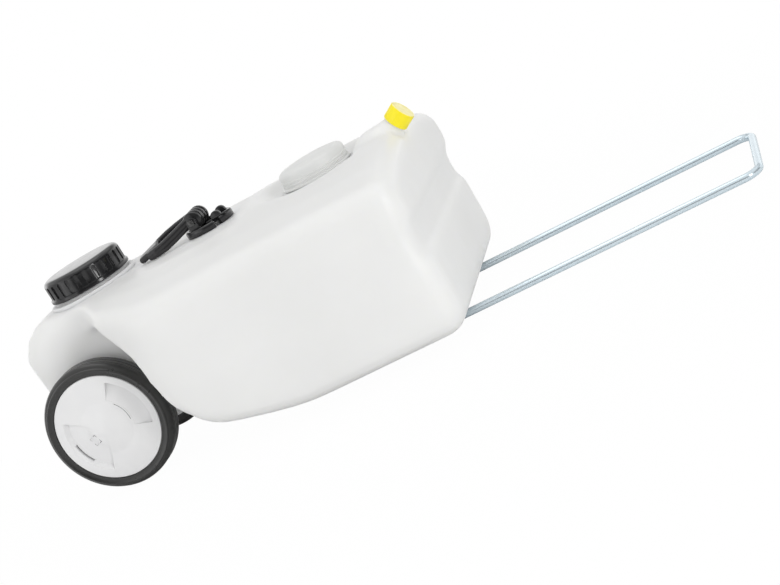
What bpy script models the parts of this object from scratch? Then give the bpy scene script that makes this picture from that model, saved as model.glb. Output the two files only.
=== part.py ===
"""Portable waste water tank on two wheels, with a pull-out wire handle.

Blow-moulded tank with a narrow nose between the wheels, three screw caps, a hinged carry loop on the top,
an axle with two wheels under the nose and a bent wire handle that slides in guides under the tank. Metres,
+Z up, +X from the nose to the handle. The tank stands on its wheels and guides, on z = 0.
"""
import math

import bpy
import bmesh
from mathutils import Matrix, Vector

MM = 0.001

# Where the model's zero lies: the axle's place along X, so that the whole is centred on the origin
AXLE_X = -388.4

# Tank body, in millimetres from the axle and the ground
TANK_REAR_X = 501.0
TANK_HALF_WIDTH = 183.0
TANK_BOTTOM_Z = 15.0
TANK_WALL = 3.0
TANK_CORNER = 28.0
NOSE_TIP_X = -79.5
NOSE_HALF_WIDTH = 60.0
NOSE_BOTTOM_Z = 70.0
NOSE_CORNER = 24.0
NOSE_END_LENGTH = 56.0
NOSE_END_DROP = 54.0
NOSE_END_RISE = 24.0
NOSE_END_INSET = 27.0
CROWN_HEIGHT = 242.2
CROWN_FALL_NOSE = 0.00075
CROWN_FALL_REAR = 0.00092
SEAT_DEPTH = 7.6
SEAT_START_X = 110.0
SEAT_END_X = 262.0
WELL_FRONT_X = 132.0
WELL_FRONT_Z = 78.0
WELL_ROOF_DROP = 42.2
WELL_SIDE_Y = 60.5
BAND_LOW_SHARE = 0.4913
BAND_HIGH_SHARE = 0.6358
BAND_LOW_Z = BAND_LOW_SHARE * CROWN_HEIGHT
BAND_HIGH_Z = BAND_HIGH_SHARE * CROWN_HEIGHT
BAND_EDGE = 6.0
BAND_SIDE_DEPTH = 2.5
BAND_REAR_DEPTH = 6.5
RIDGE_START_X = 432.0
RIDGE_HALF_WIDTH = 16.0
RIDGE_RISE = 12.0

# Axle and wheels
AXLE_RADIUS = 6.0
WHEEL_RADIUS = 86.0
TYRE_WIDTH = 35.0
WHEEL_OUTER_Y = 105.0
TYRE_SEAT_RADIUS = 71.0
TYRE_GROOVES = 2
TYRE_GROOVE_DEPTH = 1.6
RIM_WALL = 3.5
HUB_RADIUS = 17.0
HUB_LENGTH = 34.0
RIM_SPOKES = 6
SPOKE_THICKNESS = 3.0
BUSH_WALL = 2.5
COVER_THICKNESS = 2.5
COVER_BOSS_RADIUS = 35.0
COVER_BOSS_HEIGHT = 8.0
COVER_SECTOR_LOW = 39.0
COVER_SECTOR_HIGH = 62.0
COVER_SECTOR_DEPTH = 3.0
COVER_SECTOR_HALF_ANGLE = 42.0
COVER_SECTOR_TURN = 20.0
WASHER_RADIUS = 11.0
WASHER_THICKNESS = 1.5

# Screw caps: a large black one, a translucent one and a small yellow one
FILLER_X = 38.0
FILLER_FLANGE_Z = CROWN_HEIGHT + 2.8
FILLER_SKIRT_RADIUS = 54.5
FILLER_FLANGE_RADIUS = 56.7
FILLER_FLANGE_HEIGHT = 5.0
FILLER_HEIGHT = 30.5
FILLER_TOP_RADIUS = 51.5
FILLER_RIBS = 26
FILLER_WALL = 4.0
FILLER_GROOVE = 1.6
CLEANING_X = 379.4
CLEANING_FLANGE_Z = CROWN_HEIGHT - 11.2
CLEANING_RADIUS = 45.8
CLEANING_FLANGE_HEIGHT = 8.3
CLEANING_HEIGHT = 22.0
CLEANING_WALL = 3.0
CLEANING_DISH_RADIUS = 58.0
CLEANING_DISH_CLEARANCE = 3.0
VENT_X = 497.0
VENT_Z = CROWN_HEIGHT - 1.7
VENT_TILT = 60.0
VENT_RADIUS = 16.0
VENT_HEIGHT = 20.0
VENT_WALL = 2.5
VENT_NECK_LENGTH = 26.0
VENT_NOTCH_RADIUS = 27.0
VENT_NOTCH_DEPTH = 10.0
NECK_WALL = 4.0
CAP_CLEARANCE = 0.8
SEAL_THICKNESS = 2.0

# Carry loop on its round base
LOOP_BASE_X = 223.0
LOOP_BASE_RADIUS = 34.0
LOOP_BASE_HEIGHT = 9.0
LOOP_HINGE_X = 210.0
LOOP_HINGE_Z = CROWN_HEIGHT + 10.8
LOOP_BARREL_RADIUS = 12.5
LOOP_BARREL_LENGTH = 34.0
LOOP_BARREL_RINGS = 3
LOOP_PIN_RADIUS = 4.0
LOOP_EAR_THICKNESS = 5.0
LOOP_EAR_RADIUS = 7.0
LOOP_EAR_HALF_LENGTH = 8.0
LOOP_BASE_LIP = 5.5
LOOP_BASE_DEPTH = 4.0
NOTCH_WIDTH = 10.0
NOTCH_DEPTH = 3.6
NOTCH_ANGLE = -52.0
LOOP_LENGTH = 98.0
LOOP_STRAND_RADIUS = 5.0
LOOP_HALF_SPREAD = 14.0
LOOP_DROOP = 14.0
LOOP_LEAN = 18.0
LOOP_ROLL = 3.0
LUG_RADIUS = 7.0
LUG_OFFSET = 19.0
LUG_FOOT_HALF_LENGTH = 7.0
LUG_LIFT = 1.5
TONGUE_START = 13.0
TONGUE_END = 39.0
TONGUE_HALF_WIDTH = 15.5
TONGUE_THICKNESS = 2.5
LUG_THICKNESS = 6.0
LUG_HALF_GAP = 8.0

# Pull handle and its guides
ROD_RADIUS = 5.0
ROD_Z = 9.5
ROD_HALF_SPREAD = 85.0
GRIP_X = 858.0
GRIP_CORNER_RADIUS = 20.0
ROD_START_X = 375.0
ROD_END_LENGTH = 12.0
ROD_END_HALF_WIDTH = 8.5
ROD_END_HALF_HEIGHT = 3.0
GUIDE_XS = (ROD_START_X + 25.0, ROD_START_X + 65.0)
GUIDE_LENGTH = 24.0
GUIDE_HALF_WIDTH = 13.0
GUIDE_FLANGE = 4.0
GUIDE_FLANGE_THICKNESS = 4.0
GUIDE_CLEARANCE = 0.3

# Gaps between touching and running pieces
SEAT_GAP = 0.3
RUN_GAP = 0.35
AXLE_BORE_GAP = 0.15


def clear_scene():
    for item in list(bpy.data.objects):
        bpy.data.objects.remove(item, do_unlink=True)


def material(name, colour, roughness, metallic=0.0):
    found = bpy.data.materials.get(name)
    if found:
        return found
    made = bpy.data.materials.new(name)
    made.use_nodes = True
    shader = made.node_tree.nodes["Principled BSDF"]
    shader.inputs["Base Color"].default_value = (*colour, 1.0)
    shader.inputs["Roughness"].default_value = roughness
    shader.inputs["Metallic"].default_value = metallic
    made.diffuse_color = (*colour, 1.0)
    return made


NATURAL = ("natural_polyethylene", (0.80, 0.80, 0.78), 0.35)
BLACK = ("black_plastic", (0.018, 0.018, 0.02), 0.30)
YELLOW = ("yellow_plastic", (0.93, 0.75, 0.01), 0.40)
CLEAR = ("translucent_plastic", (0.70, 0.71, 0.68), 0.35)
RUBBER = ("tyre_rubber", (0.03, 0.03, 0.03), 0.60)
WHITE = ("white_plastic", (0.80, 0.80, 0.80), 0.40)
ZINC = ("zinc_plated_steel", (0.55, 0.60, 0.64), 0.28, 1.0)
SEAL = ("seal_rubber", (0.02, 0.02, 0.02), 0.70)
GREY = ("grey_plastic", (0.25, 0.25, 0.26), 0.45)


def finish(obj, look, sharp=35.0):
    """Gives the object its material and smooth shading with sharp edges kept."""
    obj.data.materials.clear()
    obj.data.materials.append(material(*look))
    obj.data.shade_smooth()
    obj.data.set_sharp_from_angle(angle=math.radians(sharp))
    return obj


def from_bmesh(name, bm, origin=(0.0, 0.0, 0.0), look=None, sharp=35.0):
    """Makes an object of a mesh given in millimetres in the tank's frame, with its origin at one point."""
    bmesh.ops.recalc_face_normals(bm, faces=bm.faces)
    shift = Vector((origin[0], origin[1], origin[2]))
    for v in bm.verts:
        v.co = (v.co - shift) * MM
    mesh = bpy.data.meshes.new(name)
    bm.to_mesh(mesh)
    bm.free()
    obj = bpy.data.objects.new(name, mesh)
    obj.location = ((AXLE_X + origin[0]) * MM, origin[1] * MM, origin[2] * MM)
    bpy.context.scene.collection.objects.link(obj)
    if look:
        finish(obj, look, sharp)
    return obj


def cutter(obj):
    obj.hide_render = True
    obj.display_type = "WIRE"
    return obj


def boolean(obj, other, operation="DIFFERENCE"):
    change = obj.modifiers.new(other.name, "BOOLEAN")
    change.operation = operation
    change.object = other
    change.solver = "EXACT"
    cutter(other)
    return change


def spin_profile(profile, steps, axis_matrix, closed=True, shape=None):
    """Turns a profile of (radius, height) points round the local Z axis, then places it by the matrix.

    shape takes the step, radius and height, and gives them changed, for grooves and sectors.
    """
    bm = bmesh.new()
    rings = []
    for k in range(steps):
        angle = 2.0 * math.pi * (k + 0.3) / steps
        ring = []
        for radius, height in profile:
            if shape:
                radius, height = shape(k, radius, height)
            point = Vector((radius * math.cos(angle), radius * math.sin(angle), height))
            ring.append(bm.verts.new(axis_matrix @ point))
        rings.append(ring)
    count = len(profile)
    last = count if closed else count - 1
    for k in range(steps):
        here, there = rings[k], rings[(k + 1) % steps]
        for i in range(last):
            j = (i + 1) % count
            bm.faces.new((here[i], there[i], there[j], here[j]))
    if not closed:
        bm.faces.new([ring[0] for ring in rings])
        bm.faces.new([ring[-1] for ring in reversed(rings)])
    return bm


def turned(name, profile, steps, matrix, origin, look, closed=False, sharp=35.0, shape=None):
    return from_bmesh(name, spin_profile(profile, steps, matrix, closed, shape), origin, look, sharp)


def place(x, y, z):
    return Matrix.Translation((x, y, z))


def along_y(x, y, z):
    """Local Z runs along +Y."""
    return Matrix.Translation((x, y, z)) @ Matrix.Rotation(-math.pi / 2.0, 4, "X")


def outward(side):
    """Local Z runs outward along the axle, to the left (+Y) or the right (-Y), from the tank's middle."""
    return Matrix.Translation((0.0, 0.0, WHEEL_RADIUS)) @ Matrix.Rotation(-side * math.pi / 2.0, 4, "X")


def disc(x, y, z, radius, count=12, start=0.0, turn=2.0 * math.pi):
    """Points on a circle, or an arc of it, that stands in the XZ plane."""
    spread = count if turn > 6.0 else count - 1
    angles = [start + turn * k / spread for k in range(count)]
    return [(x + radius * math.cos(angle), y, z + radius * math.sin(angle)) for angle in angles]


def block(low, high):
    return [(x, y, z) for x in (low[0], high[0]) for y in (low[1], high[1]) for z in (low[2], high[2])]


def smooth(value, low, high):
    """Goes smoothly from 0 at low to 1 at high."""
    t = min(max((value - low) / (high - low), 0.0), 1.0)
    return t * t * (3.0 - 2.0 * t)


def between(value, points):
    """Reads the straight line through (place, height) points."""
    if value <= points[0][0]:
        return points[0][1]
    for (x0, y0), (x1, y1) in zip(points, points[1:]):
        if value <= x1:
            return y0 + (y1 - y0) * (value - x0) / (x1 - x0)
    return points[-1][1]


# Tank body

LENGTH_STATIONS = (-8.0, 12.0, 60.0, 90.0, 108.0, 122.0, 132.0, 141.0, 149.0, 160.0, 173.0, 190.0, 232.0,
                   262.0, 284.0, 300.0, 326.0, 350.0, 400.0)
ROOM_STATIONS = (-8.0, 12.0, 60.0, 108.0, 122.0, 141.0, 160.0, 173.0, 232.0, 284.0, 326.0, 400.0)


def underside(x):
    """Height of the tank's underside along its length: nose, front corner, long rise and flat bottom."""
    foot = TANK_BOTTOM_Z
    return between(x, ((132.0, NOSE_BOTTOM_Z), (141.0, foot + 48.0), (149.0, foot + 39.0),
                       (160.0, foot + 30.5), (173.0, foot + 23.5), (190.0, foot + 18.5),
                       (232.0, foot + 9.0), (262.0, foot + 3.5), (284.0, foot + 1.0),
                       (300.0, foot + 0.3), (326.0, foot)))


def half_width(x):
    """Half the tank's width along its length: the nose, a straight spread and the wide body."""
    rest = TANK_HALF_WIDTH - NOSE_HALF_WIDTH
    share = between(x, ((-44.0, 0.0), (-25.0, 0.02), (-8.0, 0.06), (12.0, 0.13), (40.0, 0.31), (60.0, 0.47),
                        (108.0, 0.81), (122.0, 0.885), (132.0, 0.93), (141.0, 0.96), (149.0, 0.978),
                        (160.0, 0.992), (173.0, 1.0)))
    return NOSE_HALF_WIDTH + rest * share


def crown(x, y, wall):
    """Height of the tank's top: highest along the middle, with a flat seat under the carry loop."""
    drop = between(x, ((-20.0, 3.7), (67.0, 3.0), (180.0, 1.0), (290.0, 0.0), (400.0, 0.5), (500.0, 2.6)))
    fall = CROWN_FALL_NOSE + (CROWN_FALL_REAR - CROWN_FALL_NOSE) * smooth(x, 60.0, 200.0)
    curve = CROWN_HEIGHT - drop - fall * y * y
    seat = CROWN_HEIGHT - SEAT_DEPTH + 9.0 * (1.0 - smooth(x, SEAT_START_X - 50.0, SEAT_START_X))
    seat += 9.0 * smooth(x, SEAT_END_X, SEAT_END_X + 64.0)
    gap = seat - curve
    return 0.5 * (seat + curve - math.sqrt(gap * gap + 1.0)) - wall


def band(z):
    """1 inside the moulded band round the sides and the rear, 0 outside it."""
    rise = smooth(z, BAND_LOW_Z - BAND_EDGE, BAND_LOW_Z)
    return rise * (1.0 - smooth(z, BAND_HIGH_Z, BAND_HIGH_Z + BAND_EDGE))


def tank_ring(x, wall, across, arc):
    """One cross-section of the tank as (y, z) points, from the top's far left round the bottom and back."""
    width = half_width(x) - wall
    spread = (width + wall - NOSE_HALF_WIDTH) / (TANK_HALF_WIDTH - NOSE_HALF_WIDTH)
    radius = NOSE_CORNER + (TANK_CORNER - NOSE_CORNER) * spread - wall
    lean = 0.0
    for _ in range(4):
        edge = width - radius + radius * math.sin(lean)
        lean = math.atan(crown(x, edge - 0.5, wall) - crown(x, edge + 0.5, wall))
    centre = crown(x, edge, wall) - radius * math.cos(lean)
    floor = underside(x) + wall
    half = []
    for k in range(arc):
        angle = math.pi / 2.0 - lean - (math.pi / 2.0 - lean) * k / arc
        half.append((width - radius + radius * math.cos(angle), centre + radius * math.sin(angle)))
    for z in (centre, BAND_HIGH_Z + BAND_EDGE, BAND_HIGH_Z, BAND_LOW_Z, BAND_LOW_Z - BAND_EDGE,
              floor + radius):
        half.append((width - BAND_SIDE_DEPTH * band(z) * smooth(x, 120.0, 160.0), z))
    for k in range(1, arc + 1):
        angle = -math.pi / 2.0 * k / arc
        half.append((width - radius + radius * math.cos(angle), floor + radius + radius * math.sin(angle)))
    edge = half[0][0]
    low = half[-1][0]
    top = []
    for k in range(1, across):
        y = -edge + 2.0 * edge * k / across
        top.append((y, crown(x, y, wall)))
    bottom = [(low - 2.0 * low * k / across, floor) for k in range(1, across)]
    return [(-half[0][0], half[0][1])] + top + half + bottom + [(-y, z) for y, z in reversed(half[1:])]


def end_ring(ring, share, inset, drop, rise):
    """Draws a cross-section in towards the end of the tank, leaving the band at its height."""
    widest = max(y for y, _ in ring)
    top = max(z for _, z in ring)
    foot = min(z for _, z in ring)
    high = BAND_HIGH_Z + BAND_EDGE
    low = BAND_LOW_Z - BAND_EDGE
    moved = []
    for y, z in ring:
        y *= 1.0 - inset * share / widest
        if z > high:
            z -= drop * share * (z - high) / (top - high)
        elif z < low:
            z += rise * share * (low - z) / (low - foot)
        moved.append((y, z))
    return moved


def tank_body(wall, across, arc, end_steps):
    """The tank's outer form, or with a wall its inner form, as one closed mesh in the tank's frame."""
    rings = []
    nose_x = NOSE_TIP_X + wall
    start = nose_x + NOSE_END_LENGTH - wall
    front = tank_ring(start, wall, across, arc)
    for k in range(end_steps, 0, -1):
        angle = math.pi / 2.0 * k / end_steps
        share = 1.0 - math.cos(angle)
        ring = end_ring(front, share, NOSE_END_INSET - wall, NOSE_END_DROP - wall, NOSE_END_RISE)
        rings.append([(start - (start - nose_x) * math.sin(angle), y, z) for y, z in ring])
    rings.append([(start, y, z) for y, z in front])
    for x in LENGTH_STATIONS if wall == 0.0 else ROOM_STATIONS:
        rings.append([(x, y, z) for y, z in tank_ring(x, wall, across, arc)])
    radius = TANK_CORNER - wall
    finish_x = TANK_REAR_X - TANK_CORNER
    back = tank_ring(finish_x, wall, across, arc)
    for k in range(end_steps + 1):
        angle = math.pi / 2.0 * k / end_steps
        share = 1.0 - math.cos(angle)
        ring = end_ring(back, share, radius, radius, radius)
        hollow = BAND_REAR_DEPTH * math.sin(angle) ** 2
        rings.append([(finish_x + radius * math.sin(angle) - hollow * band(z), y, z) for y, z in ring])
    bm = bmesh.new()
    made = [[bm.verts.new(point) for point in ring] for ring in rings]
    count = len(made[0])
    for here, there in zip(made, made[1:]):
        for i in range(count):
            j = (i + 1) % count
            bm.faces.new((here[i], here[j], there[j], there[i]))
    fill_end(bm, made[0], across)
    fill_end(bm, made[-1], across)
    return bm


def fill_end(bm, ring, across):
    """Closes an end with rows of faces that run straight across from side to side."""
    count = len(ring)
    down = count // 2 - across
    left = [ring[0]] + [ring[count - k] for k in range(1, down + 1)]
    right = [ring[across + k] for k in range(down + 1)]
    rows = []
    for k, (a, b) in enumerate(zip(left, right)):
        if k == 0:
            rows.append([ring[i] for i in range(across + 1)])
        elif k == down:
            rows.append([ring[count - down - i] for i in range(across + 1)])
        else:
            inner = [bm.verts.new(a.co.lerp(b.co, i / across)) for i in range(1, across)]
            rows.append([a] + inner + [b])
    for upper, lower in zip(rows, rows[1:]):
        for i in range(across):
            bm.faces.new((upper[i], upper[i + 1], lower[i + 1], lower[i]))


def vent_matrix(distance=0.0):
    """Local Z runs up the vent's tilted neck, from the point where the cap's rim sits."""
    tilt = Matrix.Rotation(math.radians(VENT_TILT), 4, "Y")
    return Matrix.Translation((VENT_X, 0.0, VENT_Z)) @ tilt @ Matrix.Translation((0.0, 0.0, distance))


def filler_rim():
    return FILLER_FLANGE_Z + FILLER_HEIGHT - FILLER_WALL - SEAL_THICKNESS - 2.0 * SEAT_GAP


def cleaning_rim():
    return CLEANING_FLANGE_Z + CLEANING_HEIGHT - CLEANING_WALL - SEAL_THICKNESS - 2.0 * SEAT_GAP


def vent_rim():
    return VENT_HEIGHT - VENT_WALL - SEAL_THICKNESS - 2.0 * SEAT_GAP


def neck_radius(cap_radius, wall):
    return cap_radius - wall - CAP_CLEARANCE


def prism(name, points, low, high):
    """A cutter of constant outline: points in (x, z), drawn out along Y from low to high."""
    bm = bmesh.new()
    near = [bm.verts.new((x, low, z)) for x, z in points]
    far = [bm.verts.new((x, high, z)) for x, z in points]
    bm.faces.new(near)
    bm.faces.new(list(reversed(far)))
    for i in range(len(points)):
        j = (i + 1) % len(points)
        bm.faces.new((near[i], far[i], far[j], near[j]))
    return from_bmesh(name, bm, look=NATURAL)


def hull(name, points, look=NATURAL, origin=(0.0, 0.0, 0.0)):
    """The smallest convex solid round the points."""
    bm = bmesh.new()
    verts = [bm.verts.new(point) for point in points]
    made = bmesh.ops.convex_hull(bm, input=verts)
    spare = [v for v in made["geom_interior"] + made["geom_unused"] if isinstance(v, bmesh.types.BMVert)]
    bmesh.ops.delete(bm, geom=list(set(spare)), context="VERTS")
    return from_bmesh(name, bm, origin, look)


# Height as a share of the well's rise, and how far the arch has come back from the front there
WELL_ARCH = ((0.0, 0.0), (0.18, 10.0), (0.38, 16.5), (0.56, 19.0), (0.69, 22.0), (0.80, 30.0), (0.88, 41.0),
             (0.94, 54.0),
             (0.985, 70.0), (1.0, 88.0), (0.97, 112.0), (0.90, 140.0), (0.83, 170.0))


def well_outline(wall):
    """Side view of the space round a wheel: an arch about the axle under a nearly flat roof."""
    front = WELL_FRONT_X + wall
    rise = CROWN_HEIGHT - WELL_ROOF_DROP - WELL_FRONT_Z
    points = [(NOSE_TIP_X - 40.0, -20.0), (front + 4.0, -20.0), (front + 2.0, WELL_FRONT_Z - 20.0)]
    points += [(front - back, WELL_FRONT_Z + rise * share + wall * share) for share, back in WELL_ARCH]
    points.append((NOSE_TIP_X - 40.0, WELL_FRONT_Z + 0.76 * rise + wall))
    return points


def tunnel_outline(radius):
    """Side view of the solid left round the axle."""
    points = [(-radius, NOSE_BOTTOM_Z - 5.0), (radius, NOSE_BOTTOM_Z - 5.0)]
    for k in range(13):
        angle = math.pi * k / 12
        points.append((radius * math.cos(angle), WHEEL_RADIUS + radius * math.sin(angle)))
    return points


def make_tank():
    tank = from_bmesh("tank_shell", tank_body(0.0, 8, 4, 4))
    room = from_bmesh("tank_room", tank_body(TANK_WALL, 4, 2, 3))
    for side, name in ((1.0, "left"), (-1.0, "right")):
        for target, wall, label in ((tank, 0.0, "well"), (room, TANK_WALL, "well_wall")):
            ends = sorted((side * (WELL_SIDE_Y - wall), side * (TANK_HALF_WIDTH + 30.0)))
            boolean(target, prism(f"{label}_{name}", well_outline(wall), *ends))
    dish_floor = CLEANING_FLANGE_Z - CLEANING_DISH_CLEARANCE
    rise = CROWN_HEIGHT - dish_floor + 20.0
    radius = CLEANING_DISH_RADIUS
    dish = turned("dish_cutter", ((radius, dish_floor), (radius + 0.7 * rise, dish_floor + rise)),
                  40, place(CLEANING_X, 0.0, 0.0), (0, 0, 0), NATURAL)
    radius += TANK_WALL
    under_dish = turned("dish_wall",
                        ((radius, dish_floor - TANK_WALL),
                         (radius + 0.7 * rise, dish_floor - TANK_WALL + rise)),
                        40, place(CLEANING_X, 0.0, 0.0), (0, 0, 0), NATURAL)
    low = CROWN_HEIGHT - 16.0
    ridge_points = []
    for y in (-RIDGE_HALF_WIDTH, RIDGE_HALF_WIDTH):
        ridge_points += [(RIDGE_START_X, y, low), (TANK_REAR_X - 3.0, y, low),
                         (RIDGE_START_X, y, CROWN_HEIGHT - 2.0),
                         (TANK_REAR_X - 14.0, y, CROWN_HEIGHT + 3.0),
                         (TANK_REAR_X - 3.0, y, CROWN_HEIGHT - 2.0)]
    for k in range(7):
        angle = math.radians(30.0 + 20.0 * k)
        y = RIDGE_HALF_WIDTH * math.cos(angle)
        lift = RIDGE_RISE * math.sin(angle)
        ridge_points += [(RIDGE_START_X, y, CROWN_HEIGHT - 2.0 + 0.1 * lift),
                         (TANK_REAR_X - 14.0, y, CROWN_HEIGHT + lift),
                         (TANK_REAR_X - 4.0, y, CROWN_HEIGHT + lift - 5.0)]
    boolean(tank, hull("ridge", ridge_points), "UNION")
    floor = -VENT_NOTCH_DEPTH
    radius = VENT_NOTCH_RADIUS
    notch = turned("vent_notch", ((radius, floor), (radius + 5.0, 60.0)), 32, vent_matrix(), (0, 0, 0),
                   NATURAL)
    floor -= TANK_WALL
    radius += TANK_WALL
    under_notch = turned("notch_wall", ((radius, floor), (radius + 5.0, 60.0)), 32, vent_matrix(),
                         (0, 0, 0), NATURAL)
    boolean(tank, dish)
    boolean(tank, notch)
    boolean(room, under_dish)
    boolean(room, under_notch)
    filler_neck = neck_radius(FILLER_SKIRT_RADIUS, FILLER_WALL)
    cleaning_neck = neck_radius(CLEANING_RADIUS, CLEANING_WALL)
    vent_neck = neck_radius(VENT_RADIUS, VENT_WALL)
    root = CROWN_HEIGHT - 17.0
    collar = FILLER_FLANGE_Z - SEAT_GAP
    shoulder = FILLER_SKIRT_RADIUS - 1.5
    necks = [turned("filler_neck", ((shoulder, root), (shoulder, collar - 1.5), (shoulder - 1.5, collar),
                                    (filler_neck, collar), (filler_neck, filler_rim())),
                    40, place(FILLER_X, 0.0, 0.0), (0, 0, 0), NATURAL),
             turned("cleaning_neck", ((cleaning_neck, dish_floor - 1.0), (cleaning_neck, cleaning_rim())),
                    40, place(CLEANING_X, 0.0, 0.0), (0, 0, 0), NATURAL),
             turned("vent_neck", ((vent_neck + 1.5, -VENT_NECK_LENGTH), (vent_neck + 1.5, -SEAT_GAP),
                                  (vent_neck, -SEAT_GAP), (vent_neck, vent_rim())),
                    28, vent_matrix(), (0, 0, 0), NATURAL)]
    for neck in necks:
        boolean(tank, neck, "UNION")
    boolean(room, prism("tunnel_wall", tunnel_outline(AXLE_RADIUS + 4.0), -TANK_HALF_WIDTH, TANK_HALF_WIDTH))
    boolean(tank, room)
    filler_bore = filler_neck - NECK_WALL
    cleaning_bore = cleaning_neck - NECK_WALL
    vent_bore = vent_neck - NECK_WALL
    axle_bore = AXLE_RADIUS + AXLE_BORE_GAP
    bores = [turned("filler_bore", ((filler_bore, root - 20.0), (filler_bore, filler_rim() + 20.0)),
                    40, place(FILLER_X, 0.0, 0.0), (0, 0, 0), NATURAL),
             turned("cleaning_bore",
                    ((cleaning_bore, dish_floor - 20.0), (cleaning_bore, cleaning_rim() + 20.0)),
                    40, place(CLEANING_X, 0.0, 0.0), (0, 0, 0), NATURAL),
             turned("vent_bore", ((vent_bore, -VENT_NECK_LENGTH - 12.0), (vent_bore, vent_rim() + 20.0)),
                    24, vent_matrix(), (0, 0, 0), NATURAL),
             turned("axle_bore", ((axle_bore, -NOSE_HALF_WIDTH - 5.0), (axle_bore, NOSE_HALF_WIDTH + 5.0)),
                    24, along_y(0.0, 0.0, WHEEL_RADIUS), (0, 0, 0), NATURAL)]
    for bore in bores:
        boolean(tank, bore)
    finish(tank, NATURAL, 40.0)
    return tank


# Axle and wheels

def make_axle():
    half = WHEEL_OUTER_Y - 3.0
    chamfer = 0.8
    centre = (0.0, 0.0, WHEEL_RADIUS)
    profile = ((AXLE_RADIUS - chamfer, -half), (AXLE_RADIUS, chamfer - half), (AXLE_RADIUS, half - chamfer),
               (AXLE_RADIUS - chamfer, half))
    turned("axle", profile, 20, along_y(*centre), centre, ZINC)


def make_axle_fittings(side, label):
    centre = (0.0, 0.0, WHEEL_RADIUS)
    bore = AXLE_RADIUS + SEAT_GAP
    low = WELL_SIDE_Y + SEAT_GAP
    high = low + WASHER_THICKNESS
    turned(f"axle_washer_{label}", ((bore, low), (WASHER_RADIUS, low), (WASHER_RADIUS, high), (bore, high)),
           16, outward(side), centre, ZINC, closed=True)
    low = hub_end() + RUN_GAP
    end = WHEEL_OUTER_Y - 3.0 + SEAT_GAP
    shell = bore + 1.5
    turned(f"axle_cap_{label}",
           ((2.0, end + 1.2), (shell, end + 1.2), (shell, low + 1.5), (WASHER_RADIUS, low + 1.5),
                                 (WASHER_RADIUS, low), (bore, low), (bore, end)),
           16, outward(side), centre, ZINC)


def hub_start():
    return WELL_SIDE_Y + SEAT_GAP + WASHER_THICKNESS + RUN_GAP


def hub_end():
    return hub_start() + HUB_LENGTH


def make_tyre(side, label):
    inner = WHEEL_OUTER_Y - TYRE_WIDTH
    outer = WHEEL_OUTER_Y
    radius = WHEEL_RADIUS
    seat = TYRE_SEAT_RADIUS
    profile = [(seat, inner + 1.5), (seat, outer - 1.5), (seat + 1.5, outer), (radius - 8.0, outer),
               (radius - 3.0, outer - 1.6), (radius - 0.8, outer - 4.5)]
    pitch = (TYRE_WIDTH - 14.0) / TYRE_GROOVES
    for k in range(TYRE_GROOVES):
        place_y = outer - 7.0 - pitch * (k + 0.5)
        profile += [(radius, place_y + 1.6), (radius - TYRE_GROOVE_DEPTH, place_y), (radius, place_y - 1.6)]
    profile += [(radius - 0.8, inner + 4.5), (radius - 3.0, inner + 1.6), (radius - 8.0, inner),
                (seat + 1.5, inner)]
    turned(f"tyre_{label}", profile, 36, outward(side), (0.0, 0.0, WHEEL_RADIUS), RUBBER, closed=True)


def make_rim(side, label):
    edge = TYRE_SEAT_RADIUS - SEAT_GAP
    inside = edge - RIM_WALL
    bore = bush_radius() + SEAT_GAP
    low = WHEEL_OUTER_Y - TYRE_WIDTH + 2.0
    high = cover_seat() - SEAT_GAP
    web = (low + high) / 2.0
    profile = [(edge, low), (edge, high), (inside, high), (inside, web + 1.5), (HUB_RADIUS, web + 1.5),
               (HUB_RADIUS, hub_end()), (bore, hub_end()), (bore, hub_start()), (HUB_RADIUS, hub_start()),
               (HUB_RADIUS, web - 1.5), (inside, web - 1.5), (inside, low)]
    centre = (0.0, 0.0, WHEEL_RADIUS)
    rim = turned(f"wheel_rim_{label}", profile, 36, outward(side), centre, WHITE, closed=True)
    for k in range(RIM_SPOKES):
        half = SPOKE_THICKNESS / 2.0
        reach = (HUB_RADIUS - 2.0, inside + 1.0)
        turn = Matrix.Rotation(2.0 * math.pi * (k + 0.25) / RIM_SPOKES, 4, "Z")
        points = [(x, y, z) for x in reach for y in (-half, half) for z in (low + 3.0, web)]
        points = [tuple(outward(side) @ turn @ Vector(point)) for point in points]
        boolean(rim, hull(f"spoke_{label}_{k}", points, WHITE, centre), "UNION")


def bush_radius():
    return AXLE_RADIUS + RUN_GAP + BUSH_WALL


def cover_seat():
    return WHEEL_OUTER_Y - 1.2 - COVER_THICKNESS


def make_bush(side, label):
    inner = AXLE_RADIUS + RUN_GAP
    outer = bush_radius()
    low = hub_start() + 0.2
    high = hub_end() - 0.2
    profile = ((outer, low), (outer, high), (inner, high), (inner, low))
    turned(f"wheel_bush_{label}", profile, 20, outward(side), (0.0, 0.0, WHEEL_RADIUS), GREY, closed=True)


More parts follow.
